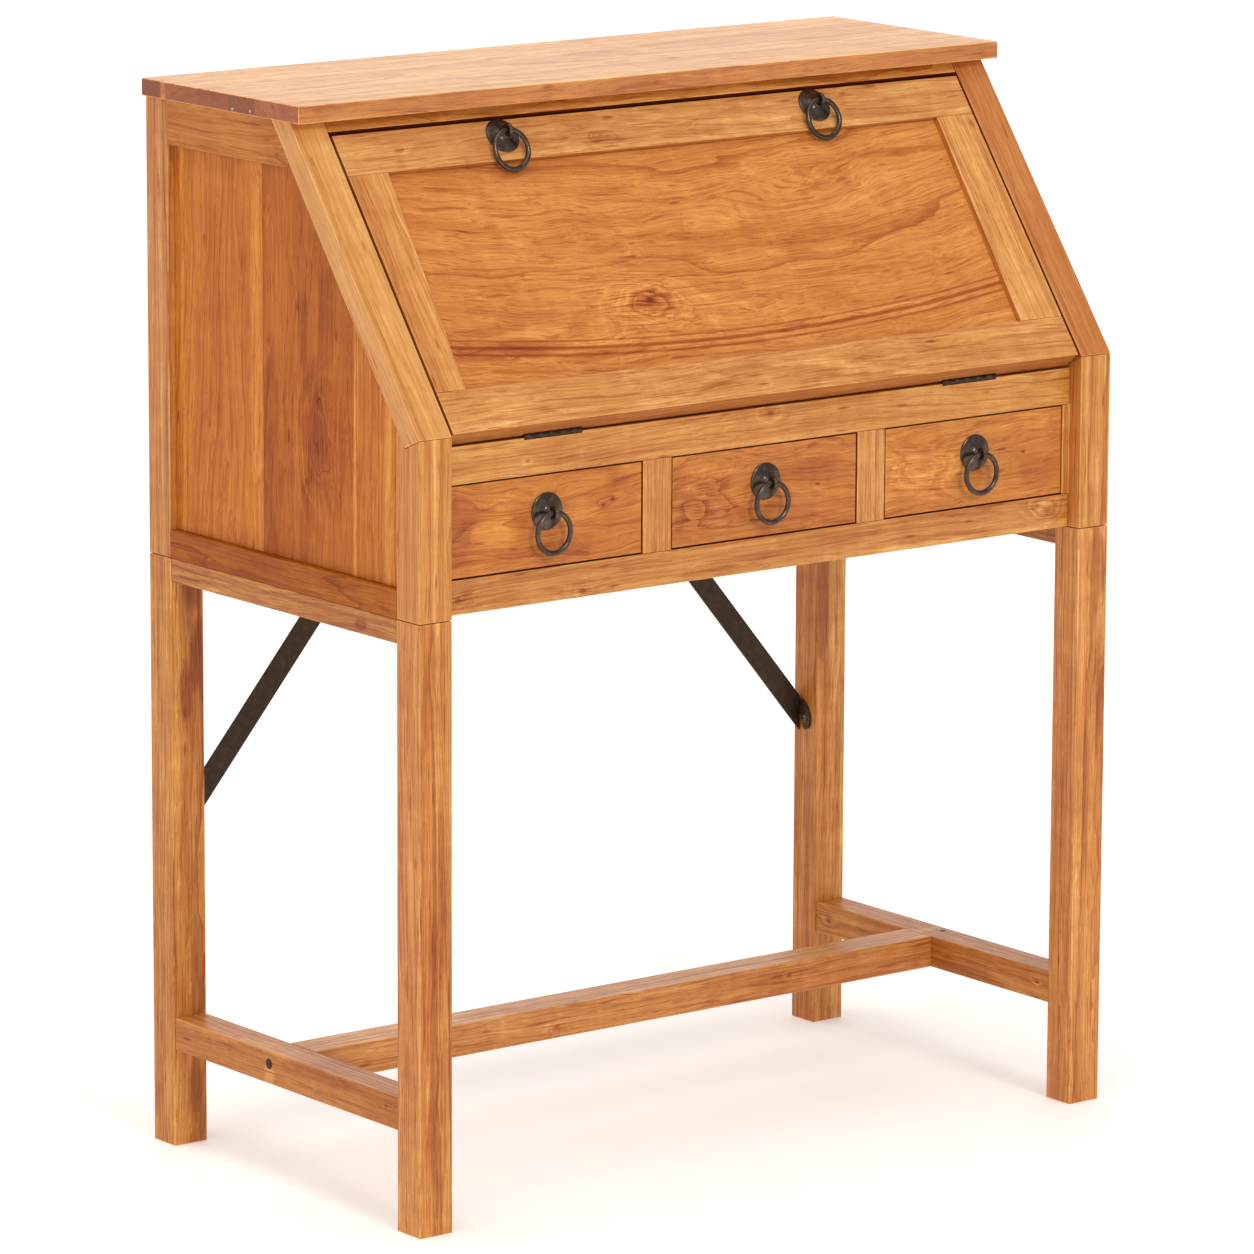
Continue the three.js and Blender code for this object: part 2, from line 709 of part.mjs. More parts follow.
// ---------------------------------------------------------------- ring pulls
// Made at the origin on a face that looks along -Y: the back plate with the eye, which stands on
// the face, and the ring through the eye.
function pullPlate() {
  const rim = 1.6;
  const seat = 0.1;
  const profile = [
    [0, seat],
    [PULL_PLATE_RADIUS, seat],
    [PULL_PLATE_RADIUS, rim - 0.6],
    [PULL_PLATE_RADIUS - 0.8, rim],
    [PULL_PLATE_RADIUS * 0.62, rim + 1.4],
    [PULL_PLATE_RADIUS * 0.36, rim + 3.6],
    [PULL_PLATE_RADIUS * 0.2, rim + 6],
    [0, rim + 6.4],
  ].map(([r, h]) => new THREE.Vector2(r, h));
  const dome = new THREE.LatheGeometry(profile, 28).rotateX(Math.PI);
  const eye = new THREE.TorusGeometry(EYE_HOLE + EYE_WIRE, EYE_WIRE, 8, 16);
  eye.rotateY(Math.PI / 2).translate(0, -PULL_REACH, 0);
  return join(dome, eye);
}

function pullRing() {
  const ring = new THREE.TorusGeometry(RING_RADIUS, RING_WIRE, 10, 30);
  return ring.rotateX(Math.PI / 2).translate(0, 0, -RING_RADIUS);
}

// Adds a pull: at stands on the wood, tilt turns the face that it is on about X, and lean turns
// the hanging ring about X.
function addPull(parent, name, at, tilt, lean) {
  const seat = new THREE.Group();
  seat.position.set(...at);
  seat.rotation.x = tilt;
  parent.add(seat);
  addPiece(seat, `pull_plate_${name}`, pullPlate(), bronzeIron);
  const swing = new THREE.Group();
  swing.position.set(0, -PULL_REACH, 0);
  swing.rotation.x = lean - tilt;
  seat.add(swing);
  addPiece(swing, `pull_ring_${name}`, pullRing(), bronzeIron);
}

// ---------------------------------------------------------------- assembly
const desk = new THREE.Group();
const leaf = new THREE.Group();
leaf.position.set(0, front, FRONT_POST_Z);
leaf.rotation.x = SLOPE;
desk.add(leaf);

makeStand(desk);
makeCase(desk);
makeLeaf(leaf);
makeHinges(desk, leaf);

const leafTilt = SLOPE - Math.PI / 2;
for (const { side, sign } of sides) {
  const [y, z] = onSlope(LEAF_PULL_S, 0);
  addPull(desk, `leaf_${side}`, [sign * LEAF_PULL_X, y, z], leafTilt, LEAF_RING_LEAN);
}
for (const bay of drawerBays) {
  makeDrawer(desk, bay);
  const middle = (bay.x[0] + bay.x[1]) / 2;
  addPull(desk, `drawer_${bay.place}`, [middle, framePlane + DRAWER_RECESS, DRAWER_PULL_Z], 0, 0);
}

export default desk;
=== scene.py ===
"""Looks of the fall-front secretary desk: oiled acacia with dark iron fittings, on a pale floor."""

import json
import math

import bmesh
import bpy
from mathutils import Matrix, Vector, noise


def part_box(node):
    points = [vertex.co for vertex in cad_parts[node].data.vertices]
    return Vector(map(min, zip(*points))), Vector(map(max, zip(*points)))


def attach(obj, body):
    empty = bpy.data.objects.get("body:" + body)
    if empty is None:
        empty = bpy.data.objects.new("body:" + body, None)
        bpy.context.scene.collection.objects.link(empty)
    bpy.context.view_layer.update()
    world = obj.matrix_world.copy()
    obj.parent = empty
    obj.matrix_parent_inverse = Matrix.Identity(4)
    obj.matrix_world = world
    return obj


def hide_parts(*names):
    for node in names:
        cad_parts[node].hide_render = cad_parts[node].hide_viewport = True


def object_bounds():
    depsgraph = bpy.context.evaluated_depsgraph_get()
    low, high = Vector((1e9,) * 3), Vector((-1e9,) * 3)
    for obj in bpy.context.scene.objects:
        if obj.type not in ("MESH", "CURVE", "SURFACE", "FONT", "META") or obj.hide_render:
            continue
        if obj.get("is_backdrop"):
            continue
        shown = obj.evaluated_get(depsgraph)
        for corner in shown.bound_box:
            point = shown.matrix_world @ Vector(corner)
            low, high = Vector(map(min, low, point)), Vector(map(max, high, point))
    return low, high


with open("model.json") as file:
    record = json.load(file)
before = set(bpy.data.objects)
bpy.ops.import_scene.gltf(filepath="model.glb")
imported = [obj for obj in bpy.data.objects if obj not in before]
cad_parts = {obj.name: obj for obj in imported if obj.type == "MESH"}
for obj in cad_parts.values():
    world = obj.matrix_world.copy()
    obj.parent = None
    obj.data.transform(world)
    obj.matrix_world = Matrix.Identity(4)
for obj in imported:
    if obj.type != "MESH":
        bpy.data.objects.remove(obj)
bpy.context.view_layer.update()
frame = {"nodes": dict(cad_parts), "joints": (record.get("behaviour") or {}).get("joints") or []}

nodes = frame["nodes"]
joints = {joint["name"]: joint for joint in frame["joints"]}
MM = 0.001
SIDES = {"left": -1, "right": 1}
PLACES = ("left", "middle", "right")

# ---------------------------------------------------------------- directions of the boards
ACROSS = Vector((1, 0, 0))
DEEP = Vector((0, 1, 0))
UP = Vector((0, 0, 1))
SLOPE = math.atan2(4, 3)
UP_SLOPE = Vector((0, math.cos(SLOPE), math.sin(SLOPE)))
OUT_OF_SLOPE = Vector((0, -math.sin(SLOPE), math.cos(SLOPE)))


def colour(code):
    """A linear colour with alpha from a six-digit sRGB code."""
    channels = [int(code[i : i + 2], 16) / 255 for i in (0, 2, 4)]
    linear = [c / 12.92 if c < 0.04045 else ((c + 0.055) / 1.055) ** 2.4 for c in channels]
    return (*linear, 1.0)


# ---------------------------------------------------------------- shader node helpers
class Graph:
    """Short forms for adding shader nodes to one tree."""

    def __init__(self, tree):
        self.tree = tree

    def feed(self, socket, value):
        if isinstance(value, bpy.types.NodeSocket):
            self.tree.links.new(value, socket)
        elif value is not None:
            socket.default_value = value

    def node(self, kind, inputs=None, **settings):
        made = self.tree.nodes.new("ShaderNode" + kind)
        for name, value in settings.items():
            setattr(made, name, value)
        for name, value in (inputs or {}).items():
            self.feed(made.inputs[name], value)
        return made

    def math(self, operation, a, b=None, clamp=False):
        made = self.node("Math", {0: a, 1: b}, operation=operation, use_clamp=clamp)
        return made.outputs[0]

    def vector(self, operation, a, b=None):
        made = self.node("VectorMath", {0: a, 1: b}, operation=operation)
        return made.outputs["Value" if operation == "DOT_PRODUCT" else "Vector"]

    def join(self, x, y, z):
        return self.node("CombineXYZ", {0: x, 1: y, 2: z}).outputs[0]

    def split(self, value):
        return self.node("SeparateXYZ", {0: value}).outputs

    def step(self, value, low, high, to_low=0.0, to_high=1.0):
        """A smooth step from to_low to to_high as value goes from low to high."""
        inputs = {"Value": value, "From Min": low, "From Max": high, "To Min": to_low, "To Max": to_high}
        return self.node("MapRange", inputs, interpolation_type="SMOOTHSTEP").outputs[0]

    def mix(self, share, a, b, blend="MIX"):
        made = self.node("Mix", {0: share, 6: a, 7: b}, data_type="RGBA", blend_type=blend)
        return made.outputs[2]

    def noise(self, place, scale, detail=2.0, roughness=0.5, output="Factor"):
        """Noise stretched by scale, which is one number per axis."""
        stretched = self.vector("MULTIPLY", place, scale)
        inputs = {"Vector": stretched, "Scale": 1.0, "Detail": detail, "Roughness": roughness}
        outputs = self.node("TexNoise", inputs, noise_dimensions="3D").outputs
        return outputs[0 if output == "Factor" else 1]

    def centred(self, value, gain):
        """Noise about zero, times gain."""
        return self.math("MULTIPLY", self.math("SUBTRACT", value, 0.5), gain)

    def total(self, *terms):
        """The sum of all terms, leaving out plain zeros."""
        terms = [term for term in terms if not (isinstance(term, (int, float)) and term == 0)]
        result = terms[0]
        for term in terms[1:]:
            result = self.math("ADD", result, term)
        return result

    def squares(self, a, b):
        """The sum of the squares of two numbers."""
        return self.math("ADD", self.math("MULTIPLY", a, a), self.math("MULTIPLY", b, b))

    def lines(self, distance, detail=4.0, roughness=0.6):
        """Noise along one number: lines that follow the places where it stays the same."""
        inputs = {"W": distance, "Scale": 1.0, "Detail": detail, "Roughness": roughness}
        return self.node("TexNoise", inputs, noise_dimensions="1D").outputs[0]


# ---------------------------------------------------------------- wood
# The figure is one number, the depth: each step of it multiplies the colour by DEPTH_STEP, the way
# a stain does, so darker wood is also redder. SHEEN is the white that the finish adds by itself.
DEPTH_STEP = (0.66, 0.47, 0.33)
SHEEN = 0.02
EDGE_HIGHLIGHT_DEPTH = -0.32  # of the eased edges: lighter, a painted highlight along them
KNOT_CONTRAST = 0.7  # added to the figure's contrast round a knot
KNOT_STRETCH = 1.7  # of knots, along the grain
KNOT_HILL = -0.30  # how fast the rings' rise round a knot falls off with the distance squared
KNOT_HEART = -4.0  # the same of its dark heart
FIBRE_ROUGHNESS = (0.34, 0.50)
COAT = 0.06
COAT_ROUGHNESS = 0.30
TRIM = (0.93, 0.985, 1.01)  # of every board's colour, against the warm light from the floor


def acacia_group():
    """The node group that every board shares: growth rings round a pith, fibres, pores and flecks."""
    tree = bpy.data.node_groups.new("acacia", "ShaderNodeTree")
    tree.interface.new_socket("Place", in_out="INPUT", socket_type="NodeSocketVector")
    grown = ("Seed", "Pith Across", "Pith Deep", "Ring", "Waviness", "Swirl", "Rise")
    for name in (*grown, "Contrast", "Streaks"):
        tree.interface.new_socket(name, in_out="INPUT", socket_type="NodeSocketFloat")
    for name in ("Depth", "Fibre", "Height"):
        tree.interface.new_socket(name, in_out="OUTPUT", socket_type="NodeSocketFloat")

    g = Graph(tree)
    given = tree.nodes.new("NodeGroupInput").outputs
    seed = given["Seed"]
    shift = g.join(
        g.math("MULTIPLY", seed, 3.17), g.math("MULTIPLY", seed, 5.71), g.math("MULTIPLY", seed, 9.37)
    )
    place = g.vector("ADD", given["Place"], shift)

    # Distance from the pith, bent by slow, middling and fine noise.
    slow = g.split(g.noise(place, (1.6, 8, 8), 2.0, 0.5, "Color"))
    middling = g.split(g.noise(place, (6, 16, 16), 2.0, 0.5, "Color"))
    fine = g.split(g.noise(place, (14, 70, 70), 2.0, 0.5, "Color"))
    offsets = []
    for axis, start in ((0, g.split(given["Place"])[1]), (1, g.split(given["Place"])[2])):
        bend = g.math("MULTIPLY", g.math("SUBTRACT", slow[axis], 0.5), given["Waviness"])
        swirl = g.math("MULTIPLY", g.math("SUBTRACT", middling[axis], 0.5), given["Swirl"])
        jitter = g.math("MULTIPLY", g.math("SUBTRACT", fine[axis], 0.5), 0.005)
        offsets.append(g.math("ADD", start, g.math("ADD", bend, g.math("ADD", swirl, jitter))))
    across = g.math("SUBTRACT", offsets[0], given["Pith Across"])
    deep = g.math("ADD", offsets[1], given["Pith Deep"])
    squares = g.squares(across, deep)
    radius = g.math("ADD", g.math("SQRT", squares), given["Rise"])
    turns = g.math("ADD", g.math("DIVIDE", radius, given["Ring"]), g.math("MULTIPLY", seed, 17.3))

    # The place with the same bends in it, for everything that follows the grain.
    flow = g.join(g.split(place)[0], g.math("ADD", offsets[0], seed), g.math("ADD", offsets[1], seed))

    # Rings: soft bands, and on some of them a fine dark line that is sharp on one side.
    rings = g.centred(g.lines(turns, 5.0, 0.72), 1.25)
    late = g.math("POWER", g.math("FRACT", turns), 6.0)
    strong = g.lines(g.math("MULTIPLY", g.math("FLOOR", turns), 7.31), 0.0)
    late = g.math("MULTIPLY", late, g.step(strong, 0.38, 0.70, 0.05, 0.95))
    streak = g.step(g.lines(g.math("MULTIPLY", turns, 0.37), 4.0, 0.75), 0.56, 0.68)
    where = g.step(g.noise(place, (1.4, 8, 8), 2.0), 0.44, 0.60)
    streak = g.math("MULTIPLY", g.math("MULTIPLY", streak, where), given["Streaks"])
    figure = g.total(rings, late, streak, g.centred(g.noise(flow, (3, 70, 70), 4.0, 0.7), 1.0))

    # Mottling, ripples across the grain painted as the wood's shifting sheen, fibres, pores, dark ticks,
    # and pale specks painted as glints.
    mottle = g.centred(g.noise(flow, (4, 15, 15), 3.0), 1.0)
    clouds = g.centred(g.noise(flow, (9, 42, 42), 3.0, 0.6), 0.7)
    # ripple_sheen: lighter and darker bands across the grain, a painted sheen.
    ripple_sheen = g.centred(g.noise(place, (60, 14, 14), 3.0), 0.6)
    thread = g.centred(g.noise(flow, (6, 250, 250), 4.0, 0.7), 1.4)
    fibre = g.noise(flow, (16, 700, 700), 3.0, 0.6)
    hairs = g.step(g.noise(flow, (4.5, 420, 420), 2.0, 0.5), 0.55, 0.62, 0.0, 0.45)
    cracks = g.step(g.noise(flow, (10, 330, 330), 1.0), 0.66, 0.71, 0.0, 0.7)
    pores = g.step(g.noise(flow, (70, 900, 900), 1.0), 0.62, 0.72, 0.0, 0.5)
    # glints: pale specks, painted highlights.
    glints = g.step(g.noise(place, (80, 330, 330), 2.0), 0.62, 0.74, 0.0, -0.25)
    cells = g.node("TexVoronoi", {"Vector": g.vector("MULTIPLY", flow, (26, 130, 130)), "Scale": 1.0})
    fleck = g.step(cells.outputs["Distance"], 0.04, 0.30, 1.0, 0.0)
    fleck = g.math("MULTIPLY", fleck, g.step(g.split(cells.outputs["Color"])[0], 0.90, 0.94))
    texture = g.total(mottle, clouds, ripple_sheen, thread, g.centred(fibre, 1.2), hairs, cracks, pores, glints)
    depth = g.math("MULTIPLY", g.math("ADD", figure, texture), given["Contrast"])
    depth = g.math("ADD", depth, g.math("MULTIPLY", fleck, 1.2))

    made = tree.nodes.new("NodeGroupOutput")
    g.feed(made.inputs["Depth"], depth)
    g.feed(made.inputs["Fibre"], fibre)
    height = g.math("SUBTRACT", g.math("MULTIPLY", fibre, 0.5), pores)
    height = g.math("ADD", height, g.math("MULTIPLY", rings, -0.6))
    g.feed(made.inputs["Height"], g.math("SUBTRACT", height, g.math("MULTIPLY", fleck, 1.2)))
    return tree


ACACIA = acacia_group()


def knot_field(g, along, across, wobble, knots):
    """Rise of the ring distance round knots, the depth at their hearts and how near they are.

    A knot is (along, across, size, rise, depth).
    """
    rise = depth = near = 0.0
    for at_along, at_across, size, lift, dark in knots:
        u = g.math("DIVIDE", g.math("SUBTRACT", along, at_along), KNOT_STRETCH * size)
        v = g.math("DIVIDE", g.math("SUBTRACT", across, at_across), size)
        u = g.math("ADD", u, g.centred(wobble[0], 1.2))
        v = g.math("ADD", v, g.centred(wobble[1], 1.2))
        square = g.squares(u, v)
        hill = g.math("POWER", math.e, g.math("MULTIPLY", square, KNOT_HILL))
        rise = g.math("ADD", g.math("MULTIPLY", hill, lift), rise)
        heart = g.math("POWER", math.e, g.math("MULTIPLY", square, KNOT_HEART))
        depth = g.math("ADD", g.math("MULTIPLY", heart, dark), depth)
        near = g.math("ADD", hill, near)
    return rise, depth, near


def band_depth(g, along, across, bands):
    """Depth of stripes along the grain. A band is (middle, half width, depth)."""
    depth = 0.0
    place = g.join(along, g.math("MULTIPLY", across, 0.3), 0.0)
    wobble = g.centred(g.noise(place, (6, 6, 6), 4.0), 0.012)
    for middle, half, amount in bands:
        bent = g.math("ADD", across, g.math("MULTIPLY", wobble, min(1.0, half / 0.008)))
        off = g.math("ABSOLUTE", g.math("SUBTRACT", bent, middle))
        depth = g.math("ADD", g.step(off, half * 0.4, half * 1.4, amount, 0.0), depth)
    return depth


def patch_depth(g, along, across, wobble, patches):
    """Depth of soft fields. A patch is (along, across, half length, half width, depth)."""
    depth = 0.0
    for at_along, at_across, half_along, half_across, amount in patches:
        u = g.math("DIVIDE", g.math("SUBTRACT", along, at_along), half_along)
        v = g.math("DIVIDE", g.math("SUBTRACT", across, at_across), half_across)
        u = g.math("ADD", u, g.centred(wobble[0], 1.6))
        v = g.math("ADD", v, g.centred(wobble[1], 1.6))
        square = g.squares(u, v)
        depth = g.math("ADD", g.step(square, 0.15, 1.6, amount, 0.0), depth)
    return depth


def stain(code):
    """The colour under the finish of wood that looks like code."""
    return [max(0.004, channel - SHEEN) * trim for channel, trim in zip(colour(code), TRIM)]


def wood(
    name, centre, along, face, tone, seed, pith=(0.01, 0.06), ring=0.007, wavy=0.03, swirl=0.0,
    bow=(0.0, 0.0), contrast=1.0, streaks=0.5, knots=(), bands=(), patches=(), seams=(), planks=(),
    ends=0.45, end_bands=(), sides=(0.0, 0.0), gloss=0.32, edge=0.0,
):
    """One board's material, in metres from the board's middle.

    along is the grain and face the way the best face looks. pith is the tree's middle, across the
    board and behind its face, and ring the width of its growth rings. wavy and swirl are how far the
    grain strays, and bow is (where, how much) it bends. knots, bands and patches are as in the three
    functions above. seams are glue joints, and planks the depth of each plank between them. ends is
    how much darker the end grain is, end_bands do the same for parts of it, and sides is how much
    darker or, below zero, lighter the faces of the two long edges are: painted shade on faces in gaps
    and turned from the light, and painted light on tops in shade. edge is a depth for all of the
    board; the bevel faces use it for a painted highlight along the eased edges.
    """
    material = bpy.data.materials.new(name)
    material.use_nodes = True
    g = Graph(material.node_tree)
    shader = material.node_tree.nodes["Principled BSDF"]
    coordinates = g.node("TexCoord").outputs
    local = g.vector("SUBTRACT", coordinates["Object"], tuple(centre))
    sideways = face.cross(along).normalized()
    length = g.vector("DOT_PRODUCT", local, tuple(along))
    width = g.vector("DOT_PRODUCT", local, tuple(sideways))
    inwards = g.vector("DOT_PRODUCT", local, tuple(face))
    bent = width
    if bow[1]:
        off = g.math("SUBTRACT", length, bow[0])
        bent = g.math("SUBTRACT", width, g.math("MULTIPLY", g.math("MULTIPLY", off, off), bow[1]))
    wobble = g.split(g.noise(g.join(length, width, seed), (22, 40, 1), 3.0, 0.5, "Color"))

    number, line = 0.0, 0.0
    for seam in seams:
        number = g.math("ADD", g.math("GREATER_THAN", width, seam), number)
        off = g.math("ABSOLUTE", g.math("SUBTRACT", width, seam))
        line = g.math("ADD", g.step(off, 0.0003, 0.0013, 0.8, 0.0), line)
    board_seed = g.math("ADD", g.math("MULTIPLY", number, 4.37), seed) if seams else seed
    rise, heart, near = knot_field(g, length, width, wobble, knots)
    if knots:
        near = g.math("MULTIPLY", near, KNOT_CONTRAST)
    grown = g.node("Group")
    grown.node_tree = ACACIA
    for key, value in {
        "Place": g.join(length, bent, inwards),
        "Seed": board_seed,
        "Pith Across": pith[0],
        "Pith Deep": pith[1],
        "Ring": ring,
        "Waviness": wavy,
        "Swirl": swirl,
        "Rise": rise,
        "Contrast": g.math("ADD", near, contrast),
        "Streaks": streaks,
    }.items():
        g.feed(grown.inputs[key], value)
    terms = [grown.outputs["Depth"], heart, line, edge]
    terms.append(band_depth(g, length, bent, bands))
    terms.append(patch_depth(g, length, width, wobble, patches))
    for i, amount in enumerate(planks):
        here = g.node("Math", {0: number, 1: float(i), 2: 0.5}, operation="COMPARE").outputs[0]
        terms.append(g.math("MULTIPLY", here, amount))
    facing = g.math("ABSOLUTE", g.vector("DOT_PRODUCT", coordinates["Normal"], tuple(along)))
    end_depth = ends
    for middle, half, amount in end_bands:
        off = g.math("ABSOLUTE", g.math("SUBTRACT", width, middle))
        end_depth = g.math("ADD", g.step(off, half - 0.0015, half + 0.0015, amount, 0.0), end_depth)
    terms.append(g.math("MULTIPLY", g.math("POWER", facing, 6.0), end_depth))
    # The faces turned to either long edge: darker for painted shade, lighter below zero for painted
    # light.
    for direction, amount in zip((-sideways, sideways), sides):
        if amount:
            turned = g.vector("DOT_PRODUCT", coordinates["Normal"], tuple(direction))
            terms.append(g.step(turned, 0.75, 0.98, 0.0, amount))
    depth = g.total(*terms)

    channels = [
        g.math("MULTIPLY", g.math("POWER", step, depth), base)
        for step, base in zip(DEPTH_STEP, stain(tone))
    ]
    g.feed(shader.inputs["Base Color"], g.join(*channels))
    g.feed(shader.inputs["Roughness"], g.step(grown.outputs["Fibre"], 0.3, 0.7, *FIBRE_ROUGHNESS))
    bump = g.node("Bump", {"Height": grown.outputs["Height"], "Strength": 0.3, "Distance": 0.0003})
    g.feed(shader.inputs["Normal"], bump.outputs[0])
    shader.inputs["Coat Weight"].default_value = COAT
    shader.inputs["Coat Roughness"].default_value = COAT_ROUGHNESS
    shader.inputs["Specular IOR Level"].default_value = gloss
    return material


# ---------------------------------------------------------------- CAD boards
def clean_group():
    """Geometry nodes that weld a CAD node's split corners and shade it smooth."""
    tree = bpy.data.node_groups.new("clean_edges", "GeometryNodeTree")
    tree.interface.new_socket("Geometry", in_out="INPUT", socket_type="NodeSocketGeometry")
    tree.interface.new_socket("Geometry", in_out="OUTPUT", socket_type="NodeSocketGeometry")
    start = tree.nodes.new("NodeGroupInput")
    end = tree.nodes.new("NodeGroupOutput")
    plain = tree.nodes.new("GeometryNodeRemoveAttribute")
    plain.inputs["Name"].default_value = "custom_normal"
    weld = tree.nodes.new("GeometryNodeMergeByDistance")
    weld.inputs["Distance"].default_value = 1e-5
    smooth = tree.nodes.new("GeometryNodeSetShadeSmooth")
    chain = [start, plain, weld, smooth, end]
    for before, after in zip(chain, chain[1:]):
        tree.links.new(before.outputs[0], after.inputs[0])
    return tree


CLEAN = clean_group()


def weld(piece):
    """Welds a CAD node's faces with a modifier."""
    clean = piece.modifiers.new("clean", "NODES")
    clean.node_group = CLEAN


def ease_edges(piece, width, segments=3, edge_slot=1, angle=30):
    """Welds a CAD node's faces and rounds its edges, with modifiers only."""
    weld(piece)
    flat = piece.modifiers.new("flat", "DECIMATE")
    flat.decimate_type = "DISSOLVE"
    flat.angle_limit = math.radians(1)
    bevel = piece.modifiers.new("eased", "BEVEL")
    bevel.width = width
    bevel.segments = segments
    bevel.limit_method = "ANGLE"
    bevel.angle_limit = math.radians(angle)
    bevel.use_clamp_overlap = False
    bevel.harden_normals = True
    bevel.material = edge_slot


def dress(name, along, face, ease, tone, seed, **look):
    """Gives a CAD board its wood and its eased edges, painted lighter as a highlight; ease is in
    millimetres.
    """
    piece = nodes[name]
    low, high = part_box(name)
    centre = (low + high) / 2
    piece.data.materials.clear()
    piece.data.materials.append(wood(name, centre, along, face, tone, seed, **look))
    # The second material, on the bevel faces, is the same wood lighter: a painted highlight along the
    # eased edges.
    piece.data.materials.append(
        wood(name + "_edge", centre, along, face, tone, seed, **{**look, "edge": EDGE_HIGHLIGHT_DEPTH})
    )
    ease_edges(piece, ease * MM)


def dress_stand():
    # sides on the left legs darkens their left faces a little: painted shade.
    dress("leg_front_left", UP, -DEEP, 1.3, "d28a4a", 1.3, pith=(0.03, 0.05), ring=0.006, contrast=1.15,
          sides=(0.0, 0.1), bands=[(0.016, 0.003, 0.35), (-0.003, 0.002, -0.25), (0.003, 0.0015, 0.4)],
          patches=[(0.25, 0.0, 0.05, 0.016, 0.35), (-0.1, 0.004, 0.08, 0.01, -0.2),
                   (0.05, -0.006, 0.09, 0.004, 0.5), (-0.05, 0.0, 0.16, 0.010, 0.3),
                   (-0.21, 0.004, 0.05, 0.008, 0.35)])
    dress("leg_front_right", UP, -DEEP, 1.3, "d38a4c", 2.9, pith=(-0.02, 0.05), ring=0.006, contrast=1.15,
          patches=[(0.27, -0.006, 0.05, 0.014, 0.7), (0.14, -0.012, 0.05, 0.006, 0.5),
                   (0.02, 0.006, 0.08, 0.004, 0.4)])
    dress("leg_rear_left", UP, -DEEP, 1.3, "cf8947", 4.2, pith=(0.01, 0.05), ring=0.007, contrast=1.2,
          sides=(0.0, 0.15), bands=[(-0.004, 0.003, 0.3), (0.014, 0.003, -0.3)],
          patches=[(0.285, -0.004, 0.035, 0.009, 1.2), (0.20, -0.010, 0.035, 0.007, 1.2),
                   (0.165, 0.002, 0.035, 0.007, 1.2), (0.0, 0.004, 0.10, 0.005, 0.5),
                   (-0.13, -0.008, 0.06, 0.006, 0.4), (-0.25, -0.006, 0.035, 0.008, 0.9)])
    # The band at 0.0195 lies on the leg's inner face and darkens all of it: painted shade under the desk.
    dress("leg_rear_right", UP, -DEEP, 1.3, "df9b56", 6.1, pith=(0.02, 0.05), ring=0.007,
          contrast=1.2, bands=[(0.006, 0.003, 0.4), (0.0195, 0.001, 0.6)],
          patches=[(0.18, 0.014, 0.1, 0.006, 0.8), (-0.05, -0.01, 0.1, 0.005, 0.5)])
    stretcher_knots = {
        "left": [(-0.175, -0.004, 0.003, 0.004, 1.5)],
        "right": [(0.173, 0.0, 0.004, 0.006, 1.6), (-0.177, 0.002, 0.0025, 0.004, 2.2)],
    }
    stretcher_top_light = {"left": (-0.35, 0.0), "right": (0.0, -0.35)}  # its top, lighter: painted light where the case shades it
    for side, seed in (("left", 8.1), ("right", 9.4)):
        out = ACROSS * SIDES[side]
        dress(f"stand_rail_{side}", DEEP, out, 0.7, "c07a40", seed, pith=(0.02, 0.05), ring=0.006,
              wavy=0.06, streaks=1.0, contrast=1.2, knots=[(-0.135, 0.004, 0.004, 0.006, 1.2)],
              bands=[(-0.004, 0.002, 0.6)])
        dress(f"side_stretcher_{side}", DEEP, out, 1.2, "c17b43", seed + 2, pith=(-0.02, 0.05),
              streaks=0.8, ends=0.6, gloss=0.2, knots=stretcher_knots[side],
              sides=stretcher_top_light[side],
              patches=[(0.027, 0.007, 0.010, 0.013, -0.6), (-0.06, -0.01, 0.06, 0.008, 0.5)])
    # The centre stretcher's sides lighten its top: painted light where the case shades it.
    dress("centre_stretcher", ACROSS, -DEEP, 1.2, "c9834a", 12.8, pith=(0.01, 0.08), ring=0.008,
          contrast=1.1, streaks=0.8, sides=(0.0, -0.4),
          knots=[(-0.1, -0.006, 0.004, 0.006, 1.0), (0.21, 0.004, 0.005, 0.008, 0.9)])


